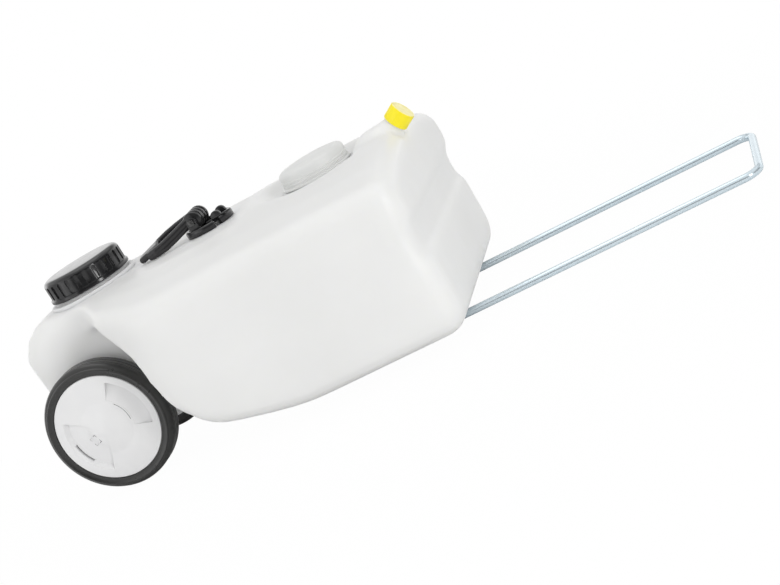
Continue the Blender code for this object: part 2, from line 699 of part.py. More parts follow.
def make_cover(side, label):
    """Wheel cover: a shallow cone in the middle and two opposite sunken sectors."""
    steps = 36
    edge = TYRE_SEAT_RADIUS - SEAT_GAP
    seat = cover_seat()
    face = seat + COVER_THICKNESS
    top = face + COVER_BOSS_HEIGHT
    boss = COVER_BOSS_RADIUS
    low_r, high_r = COVER_SECTOR_LOW, COVER_SECTOR_HIGH
    outer = [(6.0, top), (boss, face), (low_r, face), (low_r + 2.0, face), (high_r - 2.0, face),
             (high_r, face),
             (edge - 1.0, face), (edge, face - 1.0)]
    inner = [(edge, seat), (high_r, seat), (high_r - 2.0, seat), (low_r + 2.0, seat), (low_r, seat),
             (boss, seat),
             (6.0, seat + COVER_BOSS_HEIGHT)]

    def shape(k, radius, height):
        turn = (math.degrees(2.0 * math.pi * (k + 0.3) / steps) * side + COVER_SECTOR_TURN) % 180.0
        inside = min(turn, 180.0 - turn) < COVER_SECTOR_HALF_ANGLE
        sunken = inside and low_r + 1.0 < radius < high_r - 1.0 and height > seat - 1.0
        return radius, height - COVER_SECTOR_DEPTH if sunken else height

    turned(f"wheel_cover_{label}", outer + inner, steps, outward(side), (0.0, 0.0, WHEEL_RADIUS), WHITE,
           shape=shape)


# Screw caps and seals

def make_filler_cap():
    origin = (FILLER_X, 0.0, FILLER_FLANGE_Z)
    low = FILLER_FLANGE_Z
    top = low + FILLER_HEIGHT
    side = FILLER_SKIRT_RADIUS
    inside = FILLER_SKIRT_RADIUS - FILLER_WALL
    groove_low = low + FILLER_FLANGE_HEIGHT + 3.0
    groove_high = top - 6.5
    profile = ((FILLER_TOP_RADIUS - 8.0, top), (FILLER_TOP_RADIUS, top - 0.6), (side - 0.8, top - 3.0),
               (side, top - 5.5), (side, groove_high), (side, groove_low),
               (side, low + FILLER_FLANGE_HEIGHT + 0.8),
               (FILLER_FLANGE_RADIUS, low + FILLER_FLANGE_HEIGHT), (FILLER_FLANGE_RADIUS, low),
               (inside, low), (inside, top - FILLER_WALL))

    def shape(k, radius, height):
        groove = k % 3 == 0 and groove_low - 0.1 < height < groove_high + 0.1 and radius > inside + 1.0
        return radius - FILLER_GROOVE if groove else radius, height

    turned("filler_cap", profile, FILLER_RIBS * 3, place(FILLER_X, 0.0, 0.0), origin, BLACK, shape=shape)


def make_cleaning_cap():
    origin = (CLEANING_X, 0.0, CLEANING_FLANGE_Z)
    low = CLEANING_FLANGE_Z
    top = low + CLEANING_HEIGHT
    side = CLEANING_RADIUS - 0.8
    ring = CLEANING_RADIUS + 1.7
    inside = CLEANING_RADIUS - CLEANING_WALL
    band_top = low + CLEANING_FLANGE_HEIGHT
    middle = low + CLEANING_FLANGE_HEIGHT / 2.0
    profile = ((side - 7.0, top), (side - 2.4, top - 0.9), (side - 0.4, top - 3.5), (side, band_top + 0.8),
               (ring, band_top),
               (ring, middle + 0.7), (ring - 1.2, middle + 0.2), (ring - 1.2, middle - 0.2),
               (ring, middle - 0.7), (ring, low),
               (inside, low), (inside, top - CLEANING_WALL))
    turned("cleaning_cap", profile, 40, place(CLEANING_X, 0.0, 0.0), origin, CLEAR)


def make_vent_cap():
    inside = VENT_RADIUS - VENT_WALL
    profile = ((VENT_RADIUS - 2.5, VENT_HEIGHT), (VENT_RADIUS - 0.6, VENT_HEIGHT - 0.6),
               (VENT_RADIUS, VENT_HEIGHT - 2.0),
               (VENT_RADIUS, 0.6), (VENT_RADIUS - 0.6, 0.0), (inside, 0.0), (inside, VENT_HEIGHT - VENT_WALL))
    turned("vent_cap", profile, 24, vent_matrix(), (VENT_X, 0.0, VENT_Z), YELLOW)


def make_seal(name, inner, outer, low, matrix, origin):
    high = low + SEAL_THICKNESS
    profile = ((inner, low), (outer, low), (outer, high), (inner, high))
    turned(name, profile, 24, matrix, origin, SEAL, closed=True)


def make_seals():
    for name, radius, wall, rim, matrix, origin in (
            ("filler_seal", FILLER_SKIRT_RADIUS, FILLER_WALL, filler_rim(), place(FILLER_X, 0.0, 0.0),
             (FILLER_X, 0.0, FILLER_FLANGE_Z)),
            ("cleaning_seal", CLEANING_RADIUS, CLEANING_WALL, cleaning_rim(), place(CLEANING_X, 0.0, 0.0),
             (CLEANING_X, 0.0, CLEANING_FLANGE_Z)),
            ("vent_seal", VENT_RADIUS, VENT_WALL, vent_rim(), vent_matrix(), (VENT_X, 0.0, VENT_Z))):
        neck = neck_radius(radius, wall)
        make_seal(name, neck - NECK_WALL, radius - wall - SEAT_GAP, rim + SEAT_GAP, matrix, origin)


# Carry loop

def seat_height():
    return CROWN_HEIGHT - SEAT_DEPTH


def make_loop_base():
    low = seat_height() + SEAT_GAP
    top = low + LOOP_BASE_HEIGHT
    radius = LOOP_BASE_RADIUS
    profile = ((radius, low), (radius, top - 1.5), (radius - 1.5, top), (radius - LOOP_BASE_LIP, top),
               (radius - LOOP_BASE_LIP - 1.0, top - LOOP_BASE_DEPTH))
    base = turned("loop_base", profile, 32, place(LOOP_BASE_X, 0.0, 0.0), (LOOP_BASE_X, 0.0, low), BLACK)
    near = LOOP_BARREL_LENGTH / 2.0 + RUN_GAP
    far = near + LOOP_EAR_THICKNESS
    for side, label in ((1.0, "left"), (-1.0, "right")):
        ear = LOOP_EAR_HALF_LENGTH
        points = block((LOOP_HINGE_X - ear, side * near, low + 2.0),
                       (LOOP_HINGE_X + ear, side * far, low + 5.0))
        for y in (side * near, side * far):
            points += disc(LOOP_HINGE_X, y, LOOP_HINGE_Z, LOOP_EAR_RADIUS, 12)
        boolean(base, hull(f"ear_{label}", points, BLACK), "UNION")
        inner = side * LUG_HALF_GAP
        outer = side * (LUG_HALF_GAP + LUG_THICKNESS)
        centre_z = top + LUG_LIFT
        foot = LUG_FOOT_HALF_LENGTH
        lug_x = LOOP_BASE_X + LUG_OFFSET
        points = block((lug_x - foot, inner, low + 2.0), (lug_x + foot, outer, low + 4.0))
        for y in (inner, outer):
            points += disc(lug_x, y, centre_z, LUG_RADIUS, 12)
        boolean(base, hull(f"lug_{label}", points, BLACK), "UNION")
    heights = (top - 0.2 - TONGUE_THICKNESS, top - 0.2)
    tongue = []
    for x, width in ((LOOP_BASE_X + TONGUE_START, TONGUE_HALF_WIDTH),
                     (LOOP_BASE_X + TONGUE_END, TONGUE_HALF_WIDTH - 2.5)):
        tongue += [(x, y, z) for y in (-width, width) for z in heights]
    boolean(base, hull("tongue", tongue, BLACK), "UNION")
    corner = math.radians(NOTCH_ANGLE)
    notch = []
    for out in (radius - LOOP_BASE_LIP - 3.5, radius + 6.0):
        for off in (-NOTCH_WIDTH / 2.0, NOTCH_WIDTH / 2.0):
            x = LOOP_BASE_X + out * math.cos(corner) - off * math.sin(corner)
            y = out * math.sin(corner) + off * math.cos(corner)
            notch += [(x, y, top - NOTCH_DEPTH), (x, y, top + 6.0)]
    boolean(base, hull("rim_notch", notch, BLACK))
    bore = LOOP_PIN_RADIUS + SEAT_GAP
    boolean(base, turned("ear_bore", ((bore, -far - 6.0), (bore, far + 6.0)), 20,
                         along_y(LOOP_HINGE_X, 0.0, LOOP_HINGE_Z), (0, 0, 0), BLACK))


def make_loop_pin():
    shoulder = LOOP_BARREL_LENGTH / 2.0 + RUN_GAP + LOOP_EAR_THICKNESS + SEAT_GAP
    head = LOOP_PIN_RADIUS + 1.4
    centre = (LOOP_HINGE_X, 0.0, LOOP_HINGE_Z)
    profile = ((head - 0.8, -shoulder - 2.4), (head, -shoulder - 1.6), (head, -shoulder),
               (LOOP_PIN_RADIUS, -shoulder),
               (LOOP_PIN_RADIUS, shoulder), (head, shoulder), (head, shoulder + 1.6),
               (head - 0.8, shoulder + 2.4))
    turned("loop_pin", profile, 16, along_y(*centre), centre, ZINC)


def bead(x, y, z, radius, turn):
    """Points round a small ball, for the hull of a rounded strand."""
    points = [(x - 0.95 * radius, y, z), (x + 0.95 * radius, y, z)]
    for shift in (-0.45, 0.45):
        for k in range(8):
            angle = turn + 2.0 * math.pi * k / 8
            points.append((x + shift * radius, y + 0.9 * radius * math.cos(angle),
                           z + 0.9 * radius * math.sin(angle)))
    return points


def make_loop():
    """Carry loop: a ribbed barrel on the pin, two strands and a solid tip that leans to the right."""
    centre = (LOOP_HINGE_X, 0.0, LOOP_HINGE_Z)
    half = LOOP_BARREL_LENGTH / 2.0
    rib = LOOP_BARREL_LENGTH / (2 * LOOP_BARREL_RINGS + 1)
    profile = [(LOOP_BARREL_RADIUS - 1.0, -half), (LOOP_BARREL_RADIUS, 1.0 - half)]
    for k in range(LOOP_BARREL_RINGS):
        start = -half + rib * (2 * k + 1)
        profile += [(LOOP_BARREL_RADIUS, start), (LOOP_BARREL_RADIUS - 1.5, start + 0.8),
                    (LOOP_BARREL_RADIUS - 1.5, start + rib - 0.8), (LOOP_BARREL_RADIUS, start + rib)]
    profile += [(LOOP_BARREL_RADIUS, half - 1.0), (LOOP_BARREL_RADIUS - 1.0, half)]
    loop = turned("carry_loop", profile, 24, along_y(*centre), centre, BLACK)
    strand = LOOP_STRAND_RADIUS
    start_x = LOOP_HINGE_X - 4.0
    tip_x = LOOP_HINGE_X - LOOP_LENGTH + 1.0
    top_z = LOOP_HINGE_Z + LOOP_BARREL_RADIUS - strand - 0.6
    slope = math.tan(math.radians(LOOP_DROOP))
    root = half - strand - 0.5

    def line(x):
        """Sideways lean and height of the loop's middle line, and the share of its length reached."""
        share = (start_x - x) / (start_x - tip_x)
        return -LOOP_LEAN * share, top_z - (start_x - x) * slope, share

    end_x = tip_x + 0.38 * (start_x - tip_x)
    for side, label in ((1.0, "left"), (-1.0, "right")):
        beads = []
        for share in (0.0, 0.5, 1.0):
            x = start_x + (end_x - start_x) * share
            lean, z, _ = line(x)
            out = root + (LOOP_HALF_SPREAD - root) * share
            beads.append((x, lean + side * out, z + side * LOOP_ROLL * share, strand * (1.0 - 0.1 * share)))
        for k in (0, 1):
            points = bead(*beads[k], 0.2 + 0.25 * k) + bead(*beads[k + 1], 0.2 + 0.25 * k)
            boolean(loop, hull(f"strand_{label}_{k}", points, BLACK, centre), "UNION")
    tip_low = seat_height() + 0.8
    length = start_x - tip_x
    tip = []
    for share, width, below, above, roll in (
            (0.42, 1.5, -0.6, 5.2, 1.0), (0.27, 0.0, 4.0, 4.4, 0.8), (0.10, -3.0, 9.0, 4.2, 0.4),
            (0.0, -7.0, 9.0, 2.6, 0.0)):
        lean, z, _ = line(tip_x + share * length)
        for side in (-1.0, 1.0):
            y = lean + side * (LOOP_HALF_SPREAD + width)
            lift = side * roll * LOOP_ROLL
            tip += [(tip_x + share * length, y, max(tip_low, z - below + lift)),
                    (tip_x + share * length, y, z + above + lift)]
    boolean(loop, hull("loop_tip", tip, BLACK, centre), "UNION")
    bore = LOOP_PIN_RADIUS + RUN_GAP
    boolean(loop,
            turned("loop_bore", ((bore, -half - 5.0), (bore, half + 5.0)), 20, along_y(*centre), (0, 0, 0),
                   BLACK))


# Pull handle

def make_handle():
    """One bent rod: flattened stops at the ends, two legs and a grip between two round corners."""
    corner = GRIP_CORNER_RADIUS
    spread = ROD_HALF_SPREAD
    path = [((ROD_START_X, -spread), 0.0, True), ((ROD_START_X + ROD_END_LENGTH - 3.0, -spread), 0.0, True),
            ((ROD_START_X + ROD_END_LENGTH, -spread), 0.0, False)]
    for centre_y, start in ((corner - spread, -90.0), (spread - corner, 0.0)):
        for k in range(7):
            angle = math.radians(start + 15.0 * k)
            place_x = GRIP_X - corner + corner * math.cos(angle)
            path.append(((place_x, centre_y + corner * math.sin(angle)), angle + math.pi / 2.0, False))
    path += [((ROD_START_X + ROD_END_LENGTH, spread), math.pi, False),
             ((ROD_START_X + ROD_END_LENGTH - 3.0, spread), math.pi, True),
             ((ROD_START_X, spread), math.pi, True)]
    bm = bmesh.new()
    rings = []
    steps = 12
    for (x, y), heading, flat in path:
        across = ROD_END_HALF_WIDTH if flat else ROD_RADIUS
        up = ROD_END_HALF_HEIGHT if flat else ROD_RADIUS
        ring = []
        for k in range(steps):
            angle = 2.0 * math.pi * (k + 0.5) / steps
            side = across * math.cos(angle)
            ring.append(bm.verts.new((x - side * math.sin(heading), y + side * math.cos(heading),
                                      ROD_Z + up * math.sin(angle))))
        rings.append(ring)
    for here, there in zip(rings, rings[1:]):
        for i in range(steps):
            j = (i + 1) % steps
            bm.faces.new((here[i], here[j], there[j], there[i]))
    bm.faces.new(rings[0])
    bm.faces.new(list(reversed(rings[-1])))
    from_bmesh("pull_handle", bm, (GRIP_X, 0.0, ROD_Z), ZINC, 45.0)


def make_guide(x, side, label):
    """Foot under the tank with a channel for the handle's leg, closed above by the tank."""
    top = TANK_BOTTOM_Z - SEAT_GAP
    slot = ROD_RADIUS + GUIDE_CLEARANCE
    outer = GUIDE_HALF_WIDTH
    flange = top - GUIDE_FLANGE_THICKNESS
    outline = [(2.0 - outer, 0.0), (outer - 2.0, 0.0), (outer, 2.0), (outer, flange),
               (outer + GUIDE_FLANGE, flange),
               (outer + GUIDE_FLANGE, top), (slot, top)]
    for k in range(9):
        angle = math.pi * k / 8
        outline.append((slot * math.cos(angle), ROD_Z - slot * math.sin(angle)))
    outline += [(-slot, top), (-outer - GUIDE_FLANGE, top), (-outer - GUIDE_FLANGE, flange),
                (-outer, flange), (-outer, 2.0)]
    bm = bmesh.new()
    low = x - GUIDE_LENGTH / 2.0
    middle = side * ROD_HALF_SPREAD
    near = [bm.verts.new((low, middle + y, z)) for y, z in outline]
    far = [bm.verts.new((low + GUIDE_LENGTH, middle + y, z)) for y, z in outline]
    bm.faces.new(near)
    bm.faces.new(list(reversed(far)))
    for i in range(len(outline)):
        j = (i + 1) % len(outline)
        bm.faces.new((near[i], far[i], far[j], near[j]))
    from_bmesh(f"handle_guide_{label}", bm, (x, middle, 0.0), GREY, 40.0)


clear_scene()
make_tank()
make_axle()
for wheel_side, wheel_label in ((1.0, "left"), (-1.0, "right")):
    make_axle_fittings(wheel_side, wheel_label)
    make_tyre(wheel_side, wheel_label)
    make_rim(wheel_side, wheel_label)
    make_bush(wheel_side, wheel_label)
    make_cover(wheel_side, wheel_label)
make_filler_cap()
make_cleaning_cap()
make_vent_cap()
make_seals()
make_loop_base()
make_loop_pin()
make_loop()
make_handle()
for guide_side, guide_label in ((1.0, "left"), (-1.0, "right")):
    make_guide(GUIDE_XS[0], guide_side, f"front_{guide_label}")
    make_guide(GUIDE_XS[1], guide_side, f"rear_{guide_label}")
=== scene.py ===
# %% [markdown]
# # A rolling waste water tank
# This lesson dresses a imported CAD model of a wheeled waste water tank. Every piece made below
# rides on one of those bodies, so the same scene looks right in every pose.

# %% Load the frame
import math

import bpy
from mathutils import Matrix, Vector


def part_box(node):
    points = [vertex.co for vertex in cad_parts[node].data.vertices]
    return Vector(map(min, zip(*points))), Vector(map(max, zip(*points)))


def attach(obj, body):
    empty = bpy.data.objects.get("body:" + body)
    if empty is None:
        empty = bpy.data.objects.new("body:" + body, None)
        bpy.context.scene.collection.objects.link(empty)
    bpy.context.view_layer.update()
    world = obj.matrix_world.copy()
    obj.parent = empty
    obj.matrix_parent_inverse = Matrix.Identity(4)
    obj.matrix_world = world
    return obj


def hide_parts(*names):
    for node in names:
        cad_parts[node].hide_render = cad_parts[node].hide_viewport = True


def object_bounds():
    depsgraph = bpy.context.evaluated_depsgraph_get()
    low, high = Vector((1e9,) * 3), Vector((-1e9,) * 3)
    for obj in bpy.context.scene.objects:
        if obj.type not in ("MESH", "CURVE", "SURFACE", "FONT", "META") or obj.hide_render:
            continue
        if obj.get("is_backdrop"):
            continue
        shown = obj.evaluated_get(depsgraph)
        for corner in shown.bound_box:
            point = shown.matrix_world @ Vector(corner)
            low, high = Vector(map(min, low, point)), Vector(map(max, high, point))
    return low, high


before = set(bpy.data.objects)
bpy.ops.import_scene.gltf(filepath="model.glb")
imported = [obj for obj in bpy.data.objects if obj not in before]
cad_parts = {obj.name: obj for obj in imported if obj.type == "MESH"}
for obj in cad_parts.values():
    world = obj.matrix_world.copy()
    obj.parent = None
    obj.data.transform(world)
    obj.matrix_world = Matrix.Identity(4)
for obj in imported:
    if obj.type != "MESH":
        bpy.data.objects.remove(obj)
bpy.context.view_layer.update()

# %% [markdown]
# ## The camera
# The photograph was taken from the right and a little above, with the camera rolled, so that the
# tank seems to climb. A camera could be turned by hand until the outlines agree. Here its place
# and its three axes were worked out from points measured on the photograph, so they are written
# out: its right, its up and the way it looks back.

# %% Camera
camera_data = bpy.data.cameras.new("camera")
camera_data.lens = 71.625
camera_data.shift_x = -0.0031
camera_data.shift_y = 0.0018
camera = bpy.data.objects.new("camera", camera_data)
bpy.context.scene.collection.objects.link(camera)
right = Vector((0.85405, 0.15569, -0.49634))
up = Vector((0.42554, 0.33968, 0.83877))
back = Vector((0.29918, -0.92757, 0.22386))
stand = Vector((0.57912, -1.81196, 0.48847))
camera.matrix_world = Matrix((
    (right.x, up.x, back.x, stand.x),
    (right.y, up.y, back.y, stand.y),
    (right.z, up.z, back.z, stand.z),
    (0.0, 0.0, 0.0, 1.0)))
bpy.context.scene.camera = camera
bpy.context.scene.view_settings.view_transform = "Standard"
print("camera:", camera_data.lens, "mm lens,", round(stand.length, 2), "m from the origin")

# %% [markdown]
# ## The floor
# The photograph's ground is plain and nearly white. A lit sheet alone would turn grey further
# out, so the camera sees plain white, with only a trace of the matt sheet that catches the
# tank's soft shadow. That trace fades out away from the tank. Everything else sees the matt
# sheet, which throws light back up at the tank. Three small helpers add and wire the nodes.

# %% Node helpers
white = (1.0, 1.0, 1.0, 1.0)


def add_node(tree, kind, **values):
    """Adds a shader node and fills its inputs. An underscore in a name stands for a space."""
    node = tree.nodes.new("ShaderNode" + kind)
    for name, value in values.items():
        node.inputs[name.replace("_", " ")].default_value = value
    return node


def combine(tree, operation, first, second):
    """Works out one value from two others."""
    step = add_node(tree, "Math")
    step.operation = operation
    tree.links.new(first, step.inputs[0])
    tree.links.new(second, step.inputs[1])
    return step.outputs[0]


def blend(tree, share, first, second):
    """Mixes two shaders. A share of 0 shows the first one alone, and 1 the second one."""
    mix = add_node(tree, "MixShader")
    tree.links.new(share, mix.inputs["Fac"])
    tree.links.new(first, mix.inputs[1])
    tree.links.new(second, mix.inputs[2])
    return mix.outputs[0]


# %% Floor
floor_size = 16.0
floor_gap = 0.0005
bpy.ops.object.select_all(action="DESELECT")
bpy.ops.mesh.primitive_plane_add(size=floor_size, location=(0.0, 0.0, -floor_gap))
floor = bpy.context.active_object
floor.name = "floor"
floor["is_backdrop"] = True
floor_finish = bpy.data.materials.new("white_paper")
floor_finish.use_nodes = True
tree = floor_finish.node_tree
tree.nodes.clear()
matt = add_node(tree, "BsdfDiffuse", Color=(0.9, 0.9, 0.9, 1.0))
plain = add_node(tree, "Emission", Color=white)
place = add_node(tree, "TexCoord")
distance = add_node(tree, "VectorMath")
distance.operation = "LENGTH"
tree.links.new(place.outputs["Object"], distance.inputs[0])
fade_out = add_node(tree, "MapRange", From_Min=0.50, From_Max=0.95, To_Min=0.98, To_Max=1.0)
tree.links.new(distance.outputs["Value"], fade_out.inputs["Value"])
rays = add_node(tree, "LightPath")
share = combine(tree, "MULTIPLY", rays.outputs["Is Camera Ray"], fade_out.outputs["Result"])
output = add_node(tree, "OutputMaterial")
tree.links.new(blend(tree, share, matt.outputs[0], plain.outputs[0]), output.inputs["Surface"])
floor.data.materials.append(floor_finish)
print("floor:", floor_size, "m wide")

# %% [markdown]
# ## The light from all round
# A white world gives even light from all round, as white studio walls do. Glossy plastic also
# mirrors those walls, and an even white would leave it without form. So mirror rays alone see a
# room: a bright backdrop low behind the tank, a wall beyond its nose, and a bright ceiling.

# %% World
world = bpy.data.worlds.new("studio")
world.use_nodes = True
bpy.context.scene.world = world
tree = world.node_tree
tree.nodes.clear()
way = add_node(tree, "TexCoord")
parts = add_node(tree, "SeparateXYZ")
tree.links.new(way.outputs["Generated"], parts.inputs[0])


def band(axis, start, end, low, high):
    """A soft step in the room's brightness along one axis of the view direction."""
    span = add_node(tree, "MapRange", From_Min=start, From_Max=end, To_Min=low, To_Max=high)
    span.interpolation_type = "SMOOTHSTEP"
    tree.links.new(parts.outputs[axis], span.inputs["Value"])
    return span.outputs["Result"]


backdrop = combine(tree, "MULTIPLY", band("Y", 0.20, 0.60, 0.0, 1.5),
                   band("Z", 0.20, 0.55, 1.0, 0.06))
side_wall = combine(tree, "MULTIPLY", band("X", -0.60, -0.85, 0.0, 0.9),
                    band("Z", 0.75, 0.45, 0.0, 1.0))
ceiling = band("Z", 0.40, 0.65, 0.06, 1.1)
bright = combine(tree, "ADD", combine(tree, "ADD", backdrop, side_wall), ceiling)
room = add_node(tree, "Background")
tree.links.new(bright, room.inputs["Strength"])
print("room: three soft bands of light")

# %% Who sees what
soft_light = add_node(tree, "Background", Color=white, Strength=0.68)
plain = add_node(tree, "Background", Color=white, Strength=1.0)
rays = add_node(tree, "LightPath")
lit = blend(tree, rays.outputs["Is Glossy Ray"], soft_light.outputs[0], room.outputs[0])
seen = combine(tree, "MAXIMUM", rays.outputs["Is Camera Ray"], rays.outputs["Is Transmission Ray"])
output = add_node(tree, "OutputWorld")
tree.links.new(blend(tree, seen, lit, plain.outputs[0]), output.inputs["Surface"])
print("world nodes:", len(tree.nodes))

# %% [markdown]
# ## The lamps
# Even light alone would leave the tank flat, so three large soft lamps give its forms their
# shading. A tall narrow one lights the rear from the handle's side, a square one the nose and
# the near side, and the last one hangs above.

# %% Lamps
aim = Vector((-0.05, 0.0, 0.12))


def add_lamp(name, place, width, height, power):
    """A lamp with a bright rectangle, which points at the tank's middle."""
    data = bpy.data.lights.new(name, "AREA")
    data.shape = "RECTANGLE"
    data.size = width
    data.size_y = height
    data.energy = power
    lamp = bpy.data.objects.new(name, data)
    lamp.location = place
    lamp.rotation_euler = (aim - Vector(place)).to_track_quat("-Z", "Y").to_euler()
    bpy.context.scene.collection.objects.link(lamp)
    print(f"{name} lamp: {width} x {height} m, {power} W")


add_lamp("fill", (1.95, -1.8, 0.62), 0.45, 1.5, 22.0)
add_lamp("key", (-1.7, -1.7, 0.6), 1.8, 1.8, 11.0)
add_lamp("top", (-0.2, 0.2, 2.5), 1.8, 1.8, 11.0)

# %% [markdown]
# ## How a finish is made
# No moulded surface has one even tone. Each finish starts with one shader, and noise patterns
# then let its colour, its gloss and, where it is grained, its height run a little. The patterns
# read Object coordinates, so they keep their real size whatever the piece looks like.

# %% Base for all finishes
def start_finish(name, colour, roughness, metallic=0.0):
    """A material with one shader."""
    finish = bpy.data.materials.new(name)
    finish.use_nodes = True
    finish.diffuse_color = (*colour, 1.0)
    shader = finish.node_tree.nodes["Principled BSDF"]
    shader.inputs["Base Color"].default_value = (*colour, 1.0)
    shader.inputs["Roughness"].default_value = roughness
    shader.inputs["Metallic"].default_value = metallic
    print("finish:", name)
    return finish


def add_noise(tree, scale, detail, stretch=(1.0, 1.0, 1.0)):
    """A noise pattern on Object coordinates, with its scale in cycles per metre."""
    place = add_node(tree, "TexCoord")
    mapping = add_node(tree, "Mapping", Scale=stretch)
    noise = add_node(tree, "TexNoise", Scale=scale, Detail=detail)
    tree.links.new(place.outputs["Object"], mapping.inputs["Vector"])
    tree.links.new(mapping.outputs["Vector"], noise.inputs["Vector"])
    return noise.outputs["Fac"]


# %% Uneven colour, gloss and height
def vary_colour(finish, dark, light, scale, detail=3.0, stretch=(1.0, 1.0, 1.0)):
    """Lets the colour run between two tones along a noise pattern."""
    tree = finish.node_tree
    ramp = add_node(tree, "ValToRGB")
    dark_end, light_end = ramp.color_ramp.elements
    dark_end.position = 0.35
    dark_end.color = (*dark, 1.0)
    light_end.position = 0.65
    light_end.color = (*light, 1.0)
    tree.links.new(add_noise(tree, scale, detail, stretch), ramp.inputs["Fac"])
    tree.links.new(ramp.outputs["Color"], tree.nodes["Principled BSDF"].inputs["Base Color"])


def vary_roughness(finish, low, high, scale, detail=3.0, stretch=(1.0, 1.0, 1.0)):
    """Lets the gloss run between two values along a noise pattern."""
    tree = finish.node_tree
    span = add_node(tree, "MapRange", From_Min=0.3, From_Max=0.7, To_Min=low, To_Max=high)
    tree.links.new(add_noise(tree, scale, detail, stretch), span.inputs["Value"])
    tree.links.new(span.outputs["Result"], tree.nodes["Principled BSDF"].inputs["Roughness"])


def add_grain(finish, depth, strength, scale, detail=3.0):
    """Raises a noise pattern a little from the surface. Depth is in metres."""
    tree = finish.node_tree
    bump = add_node(tree, "Bump", Strength=strength, Distance=depth)
    tree.links.new(add_noise(tree, scale, detail), bump.inputs["Height"])
    tree.links.new(bump.outputs["Normal"], tree.nodes["Principled BSDF"].inputs["Normal"])


# %% [markdown]
# ## Milky plastics
# The tank is natural polyethylene: milky, a little see-through, with a soft satin skin that is
# never quite even. Real transparency would be slow and noisy. Subsurface scattering shows the
# same thing faster: light enters the plastic and comes out nearby. The clear cap is thinner and
# a little greyer, so its light travels less far.

# %% Natural polyethylene
def let_light_in(finish, weight, radius, reach):
    """Lets light enter the plastic and come out nearby. Its reach is in metres."""
    shader = finish.node_tree.nodes["Principled BSDF"]
    shader.inputs["Subsurface Weight"].default_value = weight
    shader.inputs["Subsurface Radius"].default_value = radius
    shader.inputs["Subsurface Scale"].default_value = reach


natural = start_finish("natural_polyethylene", (0.80, 0.80, 0.785), 0.42)
vary_colour(natural, (0.78, 0.782, 0.774), (0.81, 0.812, 0.804), 5.0, 4.0)
vary_roughness(natural, 0.36, 0.48, 26.0)
add_grain(natural, 0.00006, 0.5, 420.0, 2.0)
let_light_in(natural, 0.45, (1.0, 1.0, 0.9), 0.02)
natural.node_tree.nodes["Principled BSDF"].inputs["IOR"].default_value = 1.5

# %% Translucent cap plastic
clear = start_finish("translucent_plastic", (0.74, 0.75, 0.72), 0.30)
vary_colour(clear, (0.69, 0.70, 0.685), (0.75, 0.757, 0.742), 14.0)
vary_roughness(clear, 0.42, 0.52, 60.0)
let_light_in(clear, 0.35, (1.0, 1.0, 0.95), 0.008)

# %% [markdown]
# ## Black plastics
# The large cap is glossy black plastic. The carry loop and its base are of a softer kind that
# shines a little less. Neither is a true black, because a true black shows no form.

# %% Black plastic
black = start_finish("black_plastic", (0.014, 0.014, 0.015), 0.20)
vary_colour(black, (0.011, 0.011, 0.012), (0.018, 0.018, 0.019), 40.0)
vary_roughness(black, 0.12, 0.18, 90.0)

dull_black = start_finish("dull_black_plastic", (0.018, 0.018, 0.019), 0.22)
vary_colour(dull_black, (0.014, 0.014, 0.015), (0.022, 0.022, 0.023), 40.0)
vary_roughness(dull_black, 0.17, 0.25, 90.0)

# %% [markdown]
# ## Yellow plastic
# The vent cap is a strong yellow. Its end face gets a paler yellow as a painted highlight, for
# the light that it catches from above. That is a second finish on the same piece, which is
# simpler than one finish with a mask.

# %% Yellow plastic
yellow = start_finish("yellow_plastic", (0.95, 0.80, 0.010), 0.34)
vary_colour(yellow, (0.94, 0.79, 0.008), (0.96, 0.83, 0.012), 60.0)
vary_roughness(yellow, 0.30, 0.40, 120.0)

# A paler yellow for the cap's end face: a painted highlight, not a colour of the plastic.
highlight_yellow = start_finish("pale_yellow_plastic", (0.90, 0.82, 0.34), 0.40)
vary_colour(highlight_yellow, (0.88, 0.79, 0.28), (0.92, 0.86, 0.46), 90.0)
vary_roughness(highlight_yellow, 0.34, 0.46, 120.0)

# %% [markdown]
# ## Wheel finishes
# The tyres are dark grey rubber with a faint shine, and the rims and covers are moulded in
# white. Both have a fine grain, which is too small to model and is left to a bump pattern.

# %% Tyre rubber
tyre_rubber = start_finish("tyre_rubber", (0.026, 0.026, 0.025), 0.29)
vary_colour(tyre_rubber, (0.024, 0.024, 0.023), (0.028, 0.028, 0.027), 45.0, 4.0)
vary_roughness(tyre_rubber, 0.27, 0.31, 70.0)
add_grain(tyre_rubber, 0.00002, 0.4, 500.0)

# %% White wheel plastic
wheel_white = start_finish("white_plastic", (0.77, 0.77, 0.77), 0.30)
vary_colour(wheel_white, (0.76, 0.76, 0.765), (0.785, 0.785, 0.785), 18.0)
vary_roughness(wheel_white, 0.30, 0.42, 80.0)
add_grain(wheel_white, 0.00003, 0.4, 600.0, 2.0)

# %% [markdown]
# ## Metals
# The handle and the axle are zinc plated, a bluish metal that isn't quite a mirror. Drawn rod
# has faint streaks along it, so its noise is stretched along X. The loop's pin is dark steel.

# %% Zinc plating
zinc = start_finish("zinc_plating", (0.64, 0.74, 0.80), 0.20, 0.6)
vary_colour(zinc, (0.62, 0.72, 0.78), (0.67, 0.76, 0.81), 14.0, 3.0, (0.3, 1.0, 1.0))
vary_roughness(zinc, 0.18, 0.22, 20.0, 2.0, (0.2, 1.0, 1.0))

# %% Dark steel
dark_steel = start_finish("dark_steel", (0.09, 0.09, 0.09), 0.38, 0.8)
vary_colour(dark_steel, (0.05, 0.05, 0.05), (0.16, 0.16, 0.16), 200.0)
vary_roughness(dark_steel, 0.30, 0.50, 300.0)

# %% [markdown]
# ## Hidden plastics
# The bushes and the handle's guides are plain grey plastic, and the seals are matt rubber. They
# hardly show, so their finishes stay simple.

